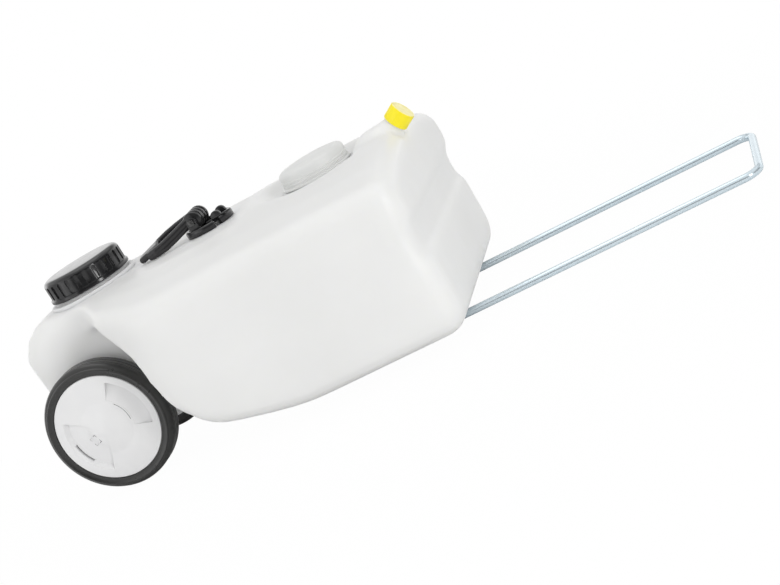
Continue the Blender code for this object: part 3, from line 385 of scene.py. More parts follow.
# %% Grey plastic and seal rubber
grey = start_finish("grey_plastic", (0.22, 0.22, 0.23), 0.45)
vary_colour(grey, (0.20, 0.20, 0.21), (0.25, 0.25, 0.26), 60.0)
vary_roughness(grey, 0.40, 0.52, 110.0)

seal_rubber = start_finish("seal_rubber", (0.022, 0.022, 0.022), 0.65)
vary_colour(seal_rubber, (0.016, 0.016, 0.016), (0.032, 0.032, 0.031), 80.0)
add_grain(seal_rubber, 0.00003, 0.4, 900.0, 2.0)

# %% [markdown]
# ## Finishes for the solids
# The small hidden parts are already right as solids: seals, bushes, washers, the axle and the
# handle's guides. They only get their finishes. The other solids get one too, although new
# pieces take their places further on.

# %% Select and shade
def deselect():
    """Leaves edit mode and selects nothing."""
    if bpy.context.object and bpy.context.object.mode != "OBJECT":
        bpy.ops.object.mode_set(mode="OBJECT")
    bpy.ops.object.select_all(action="DESELECT")


def activate(piece):
    """Selects one piece alone."""
    deselect()
    piece.select_set(True)
    bpy.context.view_layer.objects.active = piece


def smooth(piece, angle):
    """Shades a piece smooth, and keeps edges sharp that turn more than an angle in degrees."""
    activate(piece)
    bpy.ops.object.shade_smooth_by_angle(angle=math.radians(angle))


# %% Dress the solids
finish_of = {
    "tank_shell": natural, "filler_cap": black, "cleaning_cap": clear, "vent_cap": yellow,
    "loop_pin": dull_black, "loop_base": dull_black, "carry_loop": dull_black,
    "tyre": tyre_rubber, "wheel_rim": wheel_white, "wheel_cover": wheel_white,
    "axle": zinc, "pull_handle": zinc, "wheel_bush": grey, "handle_guide": grey,
    "filler_seal": seal_rubber, "cleaning_seal": seal_rubber, "vent_seal": seal_rubber}
for name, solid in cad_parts.items():
    for start, finish in finish_of.items():
        if name.startswith(start):
            solid.data.materials.clear()
            solid.data.materials.append(finish)
    smooth(solid, 35.0)
print("solids dressed:", len(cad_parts))

# %% [markdown]
# ## The tank's skin
# The real tank is blow-moulded: a tube of soft plastic is blown against a mould, so it has no
# sharp edge anywhere. The solid from the CAD model has crisp edges and a wall with an inside.
# Rounding its edges one by one fails where many of them meet. So its outer skin is copied, its
# three necks are closed, and it is built again from small even faces. A few rounds of smoothing
# then soften every edge, as the mould does.

# %% Clean a mesh
def clean(piece, distance=1e-6):
    """Merges points that lie closer than a distance, and turns all faces outwards."""
    activate(piece)
    bpy.ops.object.mode_set(mode="EDIT")
    bpy.ops.mesh.select_all(action="SELECT")
    bpy.ops.mesh.remove_doubles(threshold=distance)
    bpy.ops.mesh.normals_make_consistent(inside=False)
    bpy.ops.object.mode_set(mode="OBJECT")


# %% Copy the shell
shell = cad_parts["tank_shell"]
skin = bpy.data.objects.new("tank_skin", shell.data.copy())
bpy.context.scene.collection.objects.link(skin)
clean(skin)
bpy.ops.object.mode_set(mode="EDIT")
bpy.ops.mesh.select_mode(type="FACE")
bpy.ops.mesh.select_all(action="DESELECT")
bpy.ops.object.mode_set(mode="OBJECT")
print("shell copied:", len(skin.data.polygons), "faces")

# %% Mark the bores of the three necks
straight_up = Vector((0.0, 0.0, 1.0))
vent_way = Vector((math.sin(math.radians(60.0)), 0.0, 0.5))
bore_slack = 0.0004
marked = 0
for seal, way, bore in (
        ("filler_seal", straight_up, 0.0457), ("cleaning_seal", straight_up, 0.0380),
        ("vent_seal", vent_way, 0.0087)):
    low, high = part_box(seal)
    middle = (low + high) / 2.0
    for face in skin.data.polygons:
        radii = []
        for number in face.vertices:
            offset = skin.data.vertices[number].co - middle
            radii.append((offset - way * offset.dot(way)).length)
        if max(abs(radius - bore) for radius in radii) < bore_slack:
            face.select = True
            marked += 1
    print("bore faces marked so far:", marked)

# %% Keep the outer skin
activate(skin)
bpy.ops.object.mode_set(mode="EDIT")
bpy.ops.mesh.delete(type="FACE")
bpy.ops.mesh.select_mode(type="VERT")
bpy.ops.mesh.select_all(action="SELECT")
bpy.ops.mesh.separate(type="LOOSE")
bpy.ops.object.mode_set(mode="OBJECT")
loose = list(bpy.context.selected_objects)
skin = max(loose, key=lambda part: part.dimensions.x)
for part in loose:
    if part != skin:
        bpy.data.objects.remove(part)
skin.name = "tank_skin"
print("outer skin kept of", len(loose), "loose parts")

# %% Close the necks
activate(skin)
bpy.ops.object.mode_set(mode="EDIT")
bpy.ops.mesh.select_all(action="DESELECT")
bpy.ops.mesh.select_non_manifold()
bpy.ops.mesh.fill_holes(sides=0)
bpy.ops.object.mode_set(mode="OBJECT")
clean(skin)
print("outer skin:", len(skin.data.polygons), "faces")

# %% [markdown]
# ## The boss in front of the vent
# A low rounded boss runs from the clear cap to the vent's neck. It is part of the same blown
# wall. A lying cylinder is simply joined to the skin, because the remesh melts them into one.

# %% Modify, settle and join
def modify(piece, kind, **settings):
    """Adds a modifier with its settings and applies it."""
    activate(piece)
    change = piece.modifiers.new(kind.lower(), kind)
    for key, value in settings.items():
        setattr(change, key, value)
    bpy.ops.object.modifier_apply(modifier=change.name)


def settle(piece):
    """Puts the piece's place into its mesh, so that its object sits at the origin."""
    activate(piece)
    bpy.ops.object.transform_apply(location=True, rotation=True, scale=True)


def join(pieces):
    """Makes one object of several."""
    activate(pieces[0])
    for piece in pieces[1:]:
        piece.select_set(True)
    bpy.ops.object.join()
    return pieces[0]


# %% Boss in front of the vent
boss_radius = 0.0165
boss_length = 0.054
boss_x = 0.069
boss_top = 0.2490
deselect()
bpy.ops.mesh.primitive_cylinder_add(
    vertices=48, radius=boss_radius, depth=boss_length,
    location=(boss_x, 0.0, boss_top - boss_radius), rotation=(0.0, math.pi / 2.0, 0.0))
boss = bpy.context.active_object
settle(boss)
skin = join([skin, boss])
print("boss:", boss_length, "m long, its top at z", boss_top)

# %% Even faces and soft edges
modify(skin, "REMESH", mode="VOXEL", voxel_size=0.0027, use_smooth_shade=True)
modify(skin, "SMOOTH", factor=0.5, iterations=12)
print("smoothed skin:", len(skin.data.polygons), "faces")

# %% [markdown]
# ## Drawing the skin in
# Two places of the real tank lie further in than on the solid: the nose's sides over the
# wheels, and the wide shallow dish round the clear cap. The points there are moved by a rule,
# as one would with a sculpting brush, and the boss gets its flat top.

# %% Draw the skin in
def fade(value, start, end):
    """Goes softly from 0 at the start to 1 at the end."""
    share = min(max((value - start) / (end - start), 0.0), 1.0)
    return share * share * (3.0 - 2.0 * share)


low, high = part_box("cleaning_cap")
clear_x = (low.x + high.x) / 2.0
dish = low.z - 0.0025
dish_rise = 0.018
nose_half = 0.0605
for point in skin.data.vertices:
    place = point.co
    inwards = 0.80 * fade(place.x, -0.312, -0.360) * fade(place.z, 0.243, 0.225)
    beyond = abs(place.y) - nose_half
    if beyond > 0.0:
        place.y = math.copysign(nose_half + beyond * (1.0 - inwards), place.y)
    if place.z > 0.215:
        radius = math.hypot(place.x - clear_x, place.y)
        towards_vent = fade(place.x, clear_x, clear_x + 0.03) * fade(abs(place.y), 0.030, 0.012)
        width = 0.105 - 0.040 * towards_vent
        if radius < width:
            place.z = min(place.z, dish + dish_rise * fade(radius, 0.0500, width))
        if 0.035 < place.x < 0.094 and abs(place.y) < 0.03:
            place.z = min(place.z, boss_top)
print("dish under the clear cap at z", round(dish, 4))

# %% [markdown]
# ## Softer places on the tank
# In some places the blown wall has no edge at all: on the nose's sides over the wheels, round
# the foot of the clear cap and along the boss. The band round the tank has faint edges only.
# More smoothing of the whole skin would lose the band, so each place has a weight that says
# how much of the smoothing it gets, and its own number of rounds.

# %% Soften by weight
def soften(piece, weight, rounds):
    """Smooths a piece only where a weight from 0 to 1 says so."""
    group = piece.vertex_groups.new(name="soft")
    for point in piece.data.vertices:
        share = weight(point.co)
        if share > 0.0:
            group.add([point.index], share, "REPLACE")
    modify(piece, "SMOOTH", factor=0.5, iterations=rounds, vertex_group=group.name)
    piece.vertex_groups.clear()
    print(f"{weight.__name__}: {rounds} rounds")


# %% Where to soften
def beside_nose(point):
    """Is 1 on the nose's sides, where the wide body runs into them over the wheels."""
    along = fade(point.x, -0.290, -0.335) * fade(point.x, -0.462, -0.452)
    upright = fade(point.z, 0.09, 0.12) * fade(point.z, 0.242, 0.222)
    return along * fade(abs(point.y), 0.040, 0.056) * upright


def round_clear_cap(point):
    """Is 1 on the shallow dish round the clear cap."""
    radius = math.hypot(point.x - clear_x, point.y)
    return fade(radius, 0.050, 0.056) * fade(radius, 0.105, 0.085) * fade(point.z, 0.18, 0.20)


def round_vent(point):
    """Is 1 on the boss in front of the vent."""
    along = fade(point.x, 0.025, 0.040) * fade(point.x, 0.104, 0.094)
    return along * fade(abs(point.y), 0.055, 0.040) * fade(point.z, 0.20, 0.22)


def along_band(point):
    """Is 1 along the band round the tank's sides and rear."""
    upright = fade(point.z, 0.095, 0.110) * fade(point.z, 0.178, 0.163)
    return fade(point.x, -0.27, -0.24) * upright


# %% Soften some places
soften(skin, beside_nose, 300)
soften(skin, round_clear_cap, 40)
soften(skin, round_vent, 55)
soften(skin, along_band, 32)

# %% [markdown]
# ## Trimming the outline
# Laid over the photograph, the outline was a millimetre or two off in a few places. Each of
# them is nudged over by a small step that fades out round it, so that no edge appears.

# %% Trim the outline to the real one
def nudge(piece, weight, step):
    """Moves the points of a piece by a step, as far as a weight from 0 to 1 says."""
    for point in piece.data.vertices:
        point.co += Vector(step) * weight(point.co)


def belly(point):
    """Is 1 under the front of the wide body."""
    along = fade(point.x, -0.305, -0.275) * fade(point.x, -0.205, -0.245)
    return along * fade(point.z, 0.11, 0.07)


def far_rear(point):
    """Is 1 on the rear end's upper corner on the far side."""
    along = fade(point.x, 0.070, 0.100) * fade(point.y, 0.04, 0.09)
    return along * fade(point.z, 0.13, 0.18)


for label, weight, step in (
        ("belly", belly, (0.0, 0.0, -0.0018)),
        ("nose", lambda point: fade(point.x, -0.425, -0.460) * fade(point.z, 0.13, 0.20),
         (-0.0030, 0.0, 0.0008)),
        ("upper nose", lambda point: fade(point.x, -0.40, -0.45) * fade(point.z, 0.195, 0.215),
         (0.0012, 0.0, -0.0014)),
        ("lower nose", lambda point: fade(point.x, -0.40, -0.45) * fade(point.z, 0.135, 0.100),
         (0.0016, 0.0, 0.0008)),
        ("rear end", lambda point: fade(point.x, 0.085, 0.108) * fade(point.z, 0.13, 0.18),
         (0.0016, 0.0, 0.0012)),
        ("far rear corner", far_rear, (0.0016, 0.0, 0.0014))):
    nudge(skin, weight, step)
    print(f"{label}: moved by up to {Vector(step).length * 1000.0:.1f} mm")

# %% [markdown]
# ## The turned trim of the tank
# The large neck ends in a crisp ring that the cap is screwed down to, and the clear cap stands
# on a low ring. Both are moulded with the tank, but smoothing would have melted them. They are
# turned from a profile, as on a lathe, and joined to the finished skin.

# %% Draw and turn
def draw_line(name, points):
    """Draws a line: a plane shrunk to one point, then extruded from place to place."""
    deselect()
    bpy.ops.mesh.primitive_plane_add(size=0.001, location=(0.0, 0.0, 0.0))
    piece = bpy.context.active_object
    piece.name = name
    bpy.ops.object.mode_set(mode="EDIT")
    bpy.ops.mesh.merge(type="CENTER")
    bpy.ops.transform.translate(value=points[0])
    for start, end in zip(points, points[1:]):
        step = Vector(end) - Vector(start)
        bpy.ops.mesh.extrude_region_move(TRANSFORM_OT_translate={"value": step})
    return piece


def turn(name, profile, steps, centre, axis=(0.0, 0.0, 1.0)):
    """Turns a profile of (radius, height) points round an axis through the centre."""
    centre = Vector(centre)
    axis = Vector(axis).normalized()
    out = axis.orthogonal().normalized()
    points = [centre + out * radius + axis * height for radius, height in profile]
    piece = draw_line(name, points)
    bpy.ops.mesh.select_all(action="SELECT")
    bpy.ops.mesh.spin(steps=steps, angle=2.0 * math.pi, center=centre, axis=axis)
    clean(piece)
    return piece


# %% Hang a piece on its body
def hang(piece, body, finish, replaces):
    """Gives a finished piece its material and its body, and hides the solids it stands for."""
    settle(piece)
    piece.data.materials.clear()
    piece.data.materials.append(finish)
    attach(piece, body)
    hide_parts(*replaces)
    print(f"{piece.name}: {len(piece.data.polygons)} faces on {body}")


# %% Collar under the large cap
low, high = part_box("filler_cap")
filler_x = (low.x + high.x) / 2.0
filler_z = low.z
collar = turn("collar", (
    (0.046, filler_z - 0.014), (0.0608, filler_z - 0.014), (0.0612, filler_z - 0.0056),
    (0.0608, filler_z - 0.0046), (0.0598, filler_z - 0.0041), (0.0530, filler_z - 0.0040),
    (0.0530, filler_z - 0.0022), (0.0524, filler_z - 0.0010), (0.0512, filler_z - 0.0004),
    (0.046, filler_z - 0.0004), (0.046, filler_z - 0.014)), 96, (filler_x, 0.0, 0.0))
smooth(collar, 35.0)
print("collar's top at z", round(filler_z - 0.0004, 4))

# %% Ring under the clear cap
low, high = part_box("cleaning_cap")
ring = (high.x - low.x) / 2.0
foot = low.z
neck_foot = turn("neck_foot", (
    (0.040, foot - 0.0120), (ring + 0.0040, foot - 0.0120), (ring + 0.0040, foot - 0.0030),
    (ring + 0.0034, foot - 0.0018), (ring + 0.0020, foot - 0.0012), (0.040, foot - 0.0012),
    (0.040, foot - 0.0120)), 96, (clear_x, 0.0, 0.0))
smooth(neck_foot, 35.0)
skin = join([skin, collar, neck_foot])
hang(skin, "tank", natural, ["tank_shell"])

# %% [markdown]
# ## The large black cap
# A cap like this is injection moulded. Its side has upright grooves with round ends for the
# fingers, and a plain flange below them. The body is turned first. One groove tool is made from
# a rounded bar, copied round the cap and cut out, which keeps all grooves the same.

# %% Body of the large cap
top = filler_z + 0.0305
black_cap = turn("large_cap", (
    (0.0, top), (0.0150, top), (0.0300, top - 0.0001), (0.0430, top - 0.0003),
    (0.0450, top - 0.0004), (0.0480, top - 0.0007), (0.0505, top - 0.0015),
    (0.0525, top - 0.0028), (0.0538, top - 0.0045), (0.0544, top - 0.0062),
    (0.0545, top - 0.0078), (0.0545, filler_z + 0.0066), (0.0548, filler_z + 0.0056),
    (0.0556, filler_z + 0.0051), (0.0564, filler_z + 0.0048), (0.0567, filler_z + 0.0040),
    (0.0567, filler_z + 0.0008), (0.0561, filler_z + 0.0001), (0.0505, filler_z),
    (0.0505, top - 0.0040), (0.0, top - 0.0040)), 156, (filler_x, 0.0, 0.0))
print("large cap:", len(black_cap.data.polygons), "faces before the grooves")

# %% Grooves of the large cap
def cut(piece, tool, operation="DIFFERENCE"):
    """Cuts a piece with a tool, or joins them, and removes the tool."""
    modify(piece, "BOOLEAN", object=tool, operation=operation, solver="EXACT")
    bpy.data.objects.remove(tool)


groove_count = 26
first_groove = 0.35
groove_top = top - 0.0090
groove_length = 0.0130
tools = []
for number in range(groove_count):
    angle = 2.0 * math.pi * (number + first_groove) / groove_count
    deselect()
    bpy.ops.mesh.primitive_cylinder_add(
        vertices=24, radius=0.0028, depth=0.006, location=(0.0555, 0.0, groove_top),
        rotation=(0.0, math.pi / 2.0, 0.0))
    tool = bpy.context.active_object
    settle(tool)
    for point in tool.data.vertices:
        if point.co.z < groove_top - 0.00001:
            point.co.z -= groove_length
    round_cap = Matrix.Translation((filler_x, 0.0, 0.0)) @ Matrix.Rotation(angle, 4, "Z")
    tool.data.transform(round_cap)
    tools.append(tool)
cut(black_cap, join(tools))
print("grooves cut:", groove_count)

# %% Finish the large cap
modify(black_cap, "BEVEL", width=0.0007, segments=3, limit_method="ANGLE",
       angle_limit=math.radians(50.0))
clean(black_cap, 0.000005)
smooth(black_cap, 40.0)
hang(black_cap, "filler_lid", black, ["filler_cap"])

# %% [markdown]
# ## The clear cap
# The second cap is moulded from milky plastic. Its top is plain, and fine ribs and a ring run
# round its foot. All of it is round, so one turned profile makes the whole cap.

# %% Clear cap
low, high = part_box("cleaning_cap")
top = high.z
side = ring - 0.0025
clear_cap = turn("clear_cap", (
    (0.0, top), (0.0200, top), (side - 0.0080, top - 0.0001), (side - 0.0060, top - 0.0002),
    (side - 0.0040, top - 0.0007), (side - 0.0022, top - 0.0018), (side - 0.0008, top - 0.0034),
    (side, top - 0.0056), (side, foot + 0.0112), (side + 0.0007, foot + 0.0106),
    (side + 0.0007, foot + 0.0098), (side, foot + 0.0092), (side, foot + 0.0074),
    (side + 0.0009, foot + 0.0068), (side + 0.0009, foot + 0.0060),
    (side + 0.0003, foot + 0.0054), (side + 0.0003, foot + 0.0036),
    (ring - 0.0003, foot + 0.0030), (ring, foot + 0.0026), (ring, foot + 0.0006),
    (ring - 0.0005, foot), (side - 0.0022, foot), (side - 0.0022, top - 0.0035),
    (0.0, top - 0.0035)), 120, (clear_x, 0.0, 0.0))
smooth(clear_cap, 35.0)
hang(clear_cap, "cleaning_lid", clear, ["cleaning_cap"])

# %% [markdown]
# ## The yellow cap
# The small vent cap leans back over the tank's end. Its side is faintly flat in places, as on a
# cap for the fingers, so it is turned in only 18 steps and its edges are eased. Its raised end
# face gets the paler yellow of a painted highlight.

# %% Yellow cap
vent = Vector((0.1086, 0.0, 0.2405))
yellow_cap = turn("yellow_cap", (
    (0.0, 0.0194), (0.0118, 0.0194), (0.0126, 0.0196), (0.0132, 0.0200), (0.0146, 0.0199),
    (0.0155, 0.0194), (0.0160, 0.0184), (0.0160, 0.0008), (0.0157, 0.0002), (0.0150, 0.0000),
    (0.0138, 0.0000), (0.0138, 0.0170), (0.0, 0.0170)), 18, vent, vent_way)
modify(yellow_cap, "BEVEL", width=0.0005, segments=2, limit_method="ANGLE",
       angle_limit=math.radians(19.0))
clean(yellow_cap, 0.000005)
smooth(yellow_cap, 30.0)
hang(yellow_cap, "vent_lid", yellow, ["vent_cap"])

# %% Painted highlight on the end face
# The end face gets the paler yellow, which paints in the light it catches from above.
yellow_cap.data.materials.append(highlight_yellow)
end_face = 0.0190
for face in yellow_cap.data.polygons:
    height = (face.center - vent).dot(vent_way)
    face.material_index = 1 if height > end_face and face.normal.dot(vent_way) > 0.5 else 0
print("pale faces:", sum(face.material_index for face in yellow_cap.data.polygons))

# %% [markdown]
# ## The tyres
# The tyre is a solid ring with three fine grooves round its tread and a crisp bead on its side.
# Its profile is turned once. The left one is its mirror image, as on the real pair of wheels.

# %% Tyre
def twin(piece, name):
    """A mirrored copy for the left side, with its own mesh."""
    activate(piece)
    bpy.ops.object.duplicate()
    copy = bpy.context.active_object
    copy.name = name
    copy.scale.y = -1.0
    settle(copy)
    clean(copy)
    return copy


low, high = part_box("tyre_right")
hub = Vector(((low.x + high.x) / 2.0, low.y, (low.z + high.z) / 2.0))
outwards = Vector((0.0, -1.0, 0.0))
wide = 0.035
tread = 0.0859
profile = [
    (0.0712, -0.0018), (0.0716, -0.0012), (0.0730, -0.0010), (0.0752, -0.0008),
    (0.0768, -0.0002), (0.0778, 0.0004), (0.0787, 0.0006), (0.0795, 0.0003),
    (0.0801, -0.0004), (0.0806, -0.0014), (0.0826, -0.0026), (0.0845, -0.0044),
    (0.0856, -0.0068), (tread, -0.0090)]
for groove in (-0.0110, -0.0180, -0.0250):
    profile += [(tread, groove + 0.0007), (tread - 0.0010, groove + 0.0003),
                (tread - 0.0010, groove - 0.0003), (tread, groove - 0.0007)]
profile += [
    (tread, 0.0105 - wide), (0.0856, 0.0072 - wide), (0.0844, 0.0044 - wide),
    (0.0822, 0.0024 - wide), (0.0796, 0.0012 - wide), (0.0784, 0.0001 - wide),
    (0.0726, -wide), (0.0716, 0.0006 - wide), (0.0712, 0.0018 - wide), (0.0712, -0.0018)]
tyre = turn("tyre_ring_right", profile, 144, hub, outwards)
smooth(tyre, 30.0)
left_tyre = twin(tyre, "tyre_ring_left")
hang(tyre, "wheel_right", tyre_rubber, ["tyre_right"])
hang(left_tyre, "wheel_left", tyre_rubber, ["tyre_left"])

# %% [markdown]
# ## The wheel covers
# The cover is a thin moulded disc: a shallow cone in the middle, two opposite hollows that get
# deeper outwards, two slots and the square mark of a clip. The disc is turned. The hollows and
# slots are wedges turned through part of a circle and cut out, and the clip's mark is four
# small corners cut with thin bars.

# %% Wedge cutter
def sector(name, profile, first, last, steps, centre, axis, start):
    """A wedge: a closed profile of (radius, height) points turned from angle to angle."""
    centre = Vector(centre)
    axis = Vector(axis).normalized()
    out = Matrix.Rotation(math.radians(last), 3, axis) @ Vector(start)
    points = [centre + out * radius + axis * height for radius, height in profile]
    piece = draw_line(name, points + points[:1])
    bpy.ops.mesh.select_all(action="SELECT")
    bpy.ops.mesh.remove_doubles(threshold=1e-6)
    bpy.ops.mesh.spin(steps=steps, angle=math.radians(last - first), center=centre, axis=axis)
    bpy.ops.mesh.select_all(action="DESELECT")
    bpy.ops.mesh.select_non_manifold()
    bpy.ops.mesh.fill_holes(sides=0)
    clean(piece)
    return piece


# %% Disc of the wheel cover
low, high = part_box("wheel_cover_right")
front = -(low.y + 0.008)
behind = front - 0.0025
middle = Vector((hub.x, 0.0, hub.z))
cover = turn("cover_right", (
    (0.0, front + 0.0080), (0.0040, front + 0.0078), (0.0100, front + 0.0066),
    (0.0330, front + 0.0006), (0.0352, front + 0.0001), (0.0372, front), (0.0690, front),
    (0.0702, front - 0.0004), (0.0707, front - 0.0013), (0.0707, behind - 0.0012),
    (0.0655, behind - 0.0012), (0.0650, front - 0.0090), (0.0345, front - 0.0090),
    (0.0335, behind - 0.0012), (0.0080, behind + 0.0048), (0.0, behind + 0.0062)),
    120, middle, outwards)
print("cover:", len(cover.data.polygons), "faces before the cuts")

# %% Hollows and slots of the wheel cover
across = Vector((1.0, 0.0, 0.0))
through = 0.0200
for first, last, steps, profile in (
        (-19.0, 60.0, 24, ((0.0368, -0.0002), (0.0608, -0.0060), (0.0626, through),
                           (0.0368, through))),
        (150.0, 246.0, 28, ((0.0235, 0.0010), (0.0340, -0.0016), (0.0540, -0.0055),
                            (0.0592, 0.0004), (0.0592, through), (0.0235, through))),
        (-6.0, 43.0, 16, ((0.0342, -through), (0.0351, -through), (0.0351, through),
                          (0.0342, through))),
        (184.0, 216.0, 16, ((0.0536, -through), (0.0560, -through), (0.0560, through),
                            (0.0536, through)))):
    points = [(radius, front + height) for radius, height in profile]
    cut(cover, sector("wedge", points, first, last, steps, middle, outwards, across))
    print(f"wedge from {first} to {last} degrees cut")

# %% Mark of the clip
def add_block(low, high, bevel):
    """A block with rounded edges between two corners."""
    deselect()
    middle = (Vector(high) + Vector(low)) / 2.0
    bpy.ops.mesh.primitive_cube_add(size=1.0, location=middle)
    block = bpy.context.active_object
    block.scale = Vector(high) - Vector(low)
    settle(block)
    if bevel:
        modify(block, "BEVEL", width=bevel, segments=3)
    return block


clip_radius = 0.0246
clip_inner, clip_outer, clip_gap = 0.0056, 0.0064, 0.0022
on_cover = Matrix.Translation(middle) @ Matrix.Rotation(math.pi / 2.0, 4, "X")
clip = on_cover @ Matrix.Rotation(math.radians(-161.0), 4, "Z")
for quarter in range(4):
    turned = Matrix.Rotation(quarter * math.pi / 2.0, 4, "Z")
    for start_x, start_y in ((clip_gap, clip_inner), (clip_inner, clip_gap)):
        bar = add_block((start_x, start_y, front - 0.0020),
                        (clip_outer, clip_outer, front + 0.0100), 0.0)
        bar.data.transform(clip @ Matrix.Translation((clip_radius, 0.0, 0.0)) @ turned)
        cut(cover, bar)
print("clip mark cut at radius", clip_radius)

# %% Finish the wheel covers
clean(cover, 0.00008)
modify(cover, "BEVEL", width=0.00025, segments=2, limit_method="ANGLE",
       angle_limit=math.radians(40.0))
clean(cover, 0.000005)
smooth(cover, 35.0)
left_cover = twin(cover, "cover_left")
hang(cover, "wheel_right", wheel_white, ["wheel_cover_right"])
hang(left_cover, "wheel_left", wheel_white, ["wheel_cover_left"])

# %% [markdown]
# ## The base of the carry loop
# A black base stands on the flat seat of the tank. It is a turned dish with two ears for the
# hinge's pin, two low knuckles behind them, a slanting tongue, and a notch in its rim. The ears
# and the rest are rounded blocks and plates that are joined to the dish one by one.

# %% Plates on edge
def add_round(centre, radius, thickness, bevel):
    """A round plate that stands on edge, with its axis across the tank."""
    deselect()
    bpy.ops.mesh.primitive_cylinder_add(
        vertices=48, radius=radius, depth=thickness, location=centre,
        rotation=(math.pi / 2.0, 0.0, 0.0))
    plate = bpy.context.active_object
    settle(plate)
    modify(plate, "BEVEL", width=bevel, segments=3, limit_method="ANGLE",
           angle_limit=math.radians(50.0))
    return plate


# %% Dish of the base
low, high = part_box("loop_base")
hinge_low, hinge_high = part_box("loop_pin")
hinge = (hinge_low + hinge_high) / 2.0
base_x = hinge.x + 0.013
base_low = low.z
base_top = base_low + 0.009
base = turn("base", (
    (0.0, base_low), (0.0325, base_low), (0.0330, base_low + 0.0006),
    (0.0330, base_top - 0.0022), (0.0324, base_top - 0.0008), (0.0312, base_top),
    (0.0285, base_top), (0.0275, base_top - 0.0006), (0.0270, base_top - 0.0040),
    (0.0, base_top - 0.0040)), 96, (base_x - 0.001, 0.0, 0.0))
print("base's top at z", round(base_top, 4))

# %% Ears and knuckles
ear_y, ear_half = 0.01985, 0.00245
knuckle_y, knuckle_half = 0.011, 0.0029
for side in (-1.0, 1.0):
    ear = side * ear_y
    cut(base, add_round((hinge.x, ear, hinge.z), 0.0070, 0.0049, 0.0006), "UNION")
    cut(base, add_block((hinge.x - 0.0069, ear - ear_half, base_low + 0.002),
                        (hinge.x + 0.0069, ear + ear_half, hinge.z), 0.0004), "UNION")
    knuckle = side * knuckle_y
    cut(base, add_round((base_x + 0.0165, knuckle, base_top + 0.0008), 0.0074, 0.0060, 0.0010),
        "UNION")
    cut(base, add_block((base_x + 0.0110, knuckle - knuckle_half, base_low + 0.002),
                        (base_x + 0.0220, knuckle + knuckle_half, base_top), 0.0004), "UNION")
print("ears at y", -ear_y, "and", ear_y)

# %% Tongue and notch
tongue_start, tongue_end = base_x + 0.002, base_x + 0.0385
tongue = add_block((tongue_start, -0.0165, base_top - 0.0010),
                   (tongue_end, -0.0110, base_top + 0.0008), 0.0006)
nudge(tongue, lambda point: fade(point.x, tongue_start, tongue_end), (0.0, 0.0, 0.0016))
cut(base, tongue, "UNION")
notch = add_block((0.0255, -0.0045, base_low - 0.0010), (0.0400, 0.0045, base_top + 0.0100), 0.0)
notch_turn = Matrix.Rotation(math.radians(-52.0), 4, "Z")
notch.data.transform(Matrix.Translation((base_x, 0.0, 0.0)) @ notch_turn)
cut(base, notch)
modify(base, "BEVEL", width=0.0003, segments=2, limit_method="ANGLE",
       angle_limit=math.radians(55.0))
clean(base, 0.000005)
smooth(base, 40.0)
hang(base, "tank", dull_black, ["loop_base"])

# %% [markdown]
# ## The hinge's pin
# The pin runs through both ears and the loop's barrel. Its square heads keep it from turning,
# so they are blocks joined to the ends of a round bar.

# %% Pin with square heads
reach = (hinge_high.y - hinge_low.y) / 2.0
head_half, head_thin = 0.0036, 0.0011
pin = add_round(tuple(hinge), 0.0040, 2.0 * reach - 0.002, 0.0003)
for side in (-1.0, 1.0):
    end = side * (reach - 0.0012)
    head = add_block((hinge.x - head_half, end - head_thin, hinge.z - head_half),
                     (hinge.x + head_half, end + head_thin, hinge.z + head_half), 0.0006)
    cut(pin, head, "UNION")
smooth(pin, 40.0)
pin.name = "square_pin"
hang(pin, "tank", dark_steel, ["loop_pin"])

# %% [markdown]
# ## The carry loop
# A ribbed barrel turns on the pin, and from it two strands run forward into a flat tip. The
# near strand is deeper than the far one. The real loop is one soft moulding without an edge. So
# the strands are made as rods and the tip as a rounded block, and they are then fused by a fine
# remesh and smoothed. The barrel keeps its crisp ribs, so it is turned and joined afterwards.

# %% Barrel
half = 0.017
thick = 0.0125
profile = [(0.0042, -half), (thick - 0.0014, -half), (thick - 0.0004, -half + 0.0006),
           (thick, -half + 0.0016)]
for centre in (-0.0097, 0.0, 0.0097):
    profile += [(thick, centre - 0.0030), (thick - 0.0004, centre - 0.0025),
                (thick - 0.0016, centre - 0.0021), (thick - 0.0016, centre + 0.0021),
                (thick - 0.0004, centre + 0.0025), (thick, centre + 0.0030)]
profile += [(thick, half - 0.0016), (thick - 0.0004, half - 0.0006), (thick - 0.0014, half),
            (0.0042, half), (0.0042, -half)]
barrel = turn("loop_barrel", profile, 64, tuple(hinge), (0.0, 1.0, 0.0))
smooth(barrel, 35.0)
print("barrel:", len(barrel.data.polygons), "faces")

# %% Strands
def rod(name, points, radius, sides=6):
    """A round rod along a line of points."""
    piece = draw_line(name, points)
    activate(piece)
    bpy.ops.object.convert(target="CURVE")
    piece.data.bevel_depth = radius
    piece.data.bevel_resolution = sides
    piece.data.use_fill_caps = True
    bpy.ops.object.convert(target="MESH")
    clean(piece)
    return piece


loop_start = Vector((hinge.x - 0.004, 0.0, hinge.z + 0.0069))
length = 0.085
sideways = 0.018
drop = length * math.tan(math.radians(14.0))
seat = base_low - 0.0003
low_radius = 0.0052


def loop_line(share, out, lift):
    """A place on the loop by its share of the length, how far out it is and how far up."""
    return loop_start + Vector((-length * share, out - sideways * share, lift - drop * share))


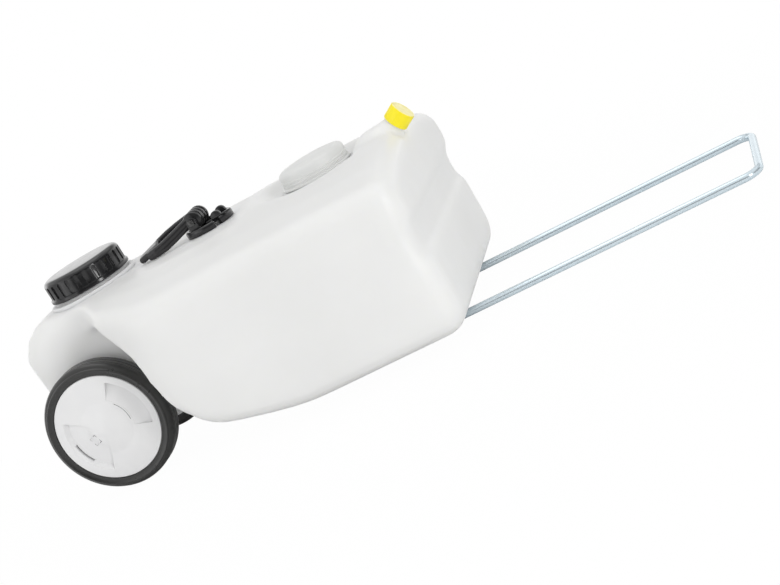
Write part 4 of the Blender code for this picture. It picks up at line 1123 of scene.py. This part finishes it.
far_places = [loop_line(share, out, lift) for share, out, lift in (
    (0.0, 0.0115, -0.0005), (0.15, 0.0125, 0.0010), (0.32, 0.0135, 0.0026),
    (0.50, 0.0140, 0.0036), (0.66, 0.0128, 0.0034), (0.80, 0.0095, 0.0020))]
near_places = [loop_line(share, -out, lift) for share, out, lift in (
    (0.0, 0.0115, -0.0020), (0.15, 0.0128, -0.0024), (0.32, 0.0140, -0.0030),
    (0.50, 0.0143, -0.0030), (0.66, 0.0130, -0.0022), (0.80, 0.0098, -0.0010))]
low_places = [place - Vector((0.0, 0.0, min(low_radius, place.z - seat - low_radius)))
              for place in near_places]
strands = [rod("strand", far_places, 0.0042), rod("strand", near_places, 0.0048),
           rod("strand", low_places, 0.0046)]
print("strands:", len(strands))

# %% Tip and fused loop
tip_end, tip_half, tip_thin = 0.0170, 0.0125, 0.0042
tip = add_block((-tip_end, -tip_half, -tip_thin), (tip_end, tip_half, tip_thin), 0.0036)
for point in tip.data.vertices:
    point.co.y *= 1.0 - 0.38 * fade(point.co.x, 0.004, -tip_end)
leaned = Matrix.Rotation(math.radians(12.0), 4, "Z") @ Matrix.Rotation(math.radians(-14.0), 4, "Y")
rolled = Matrix.Rotation(math.radians(7.0), 4, "X")
tip.data.transform(Matrix.Translation(loop_line(0.80, 0.0, 0.0012)) @ leaned @ rolled)
loop = join(strands + [tip])
modify(loop, "REMESH", mode="VOXEL", voxel_size=0.0007, use_smooth_shade=True)
modify(loop, "SMOOTH", factor=0.5, iterations=12)
loop = join([barrel, loop])
loop.name = "carry_loop_soft"
hang(loop, "loop", dull_black, ["carry_loop"])

# %% [markdown]
# ## The pull handle
# The handle is one zinc plated rod, bent twice. Its path is drawn with round corners and made
# into a rod. Its two hidden ends are pressed flat, so that it can't be pulled out.

# %% Path of the handle
low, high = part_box("pull_handle")
thin = 0.005
spread = high.y - 0.0082
grip = high.x - thin
level = (low.z + high.z) / 2.0
corner = 0.020
corner_steps = 12
ends = (low.x + 0.0003, low.x + 0.009, low.x + 0.013)
path = [(x, -spread, level) for x in ends]
for centre_y, first in ((corner - spread, -90.0), (spread - corner, 0.0)):
    for number in range(corner_steps + 1):
        angle = math.radians(first + 90.0 / corner_steps * number)
        path.append((grip - corner + corner * math.cos(angle),
                     centre_y + corner * math.sin(angle), level))
path += [(x, spread, level) for x in reversed(ends)]
print("path of the handle:", len(path), "points")

# %% Handle with pressed ends
handle = rod("handle_rod", path, thin - 0.0001, 24)
press_wide, press_flat = 1.6, 0.6
for point in handle.data.vertices:
    if point.co.x < low.x + 0.0095:
        side = math.copysign(spread, point.co.y)
        point.co.y = side + (point.co.y - side) * press_wide
        point.co.z = level + (point.co.z - level) * press_flat
smooth(handle, 40.0)
hang(handle, "handle", zinc, ["pull_handle"])

# %% [markdown]
# ## Last step
# The size of the finished scene is worked out.

# %% Finish
low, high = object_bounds()
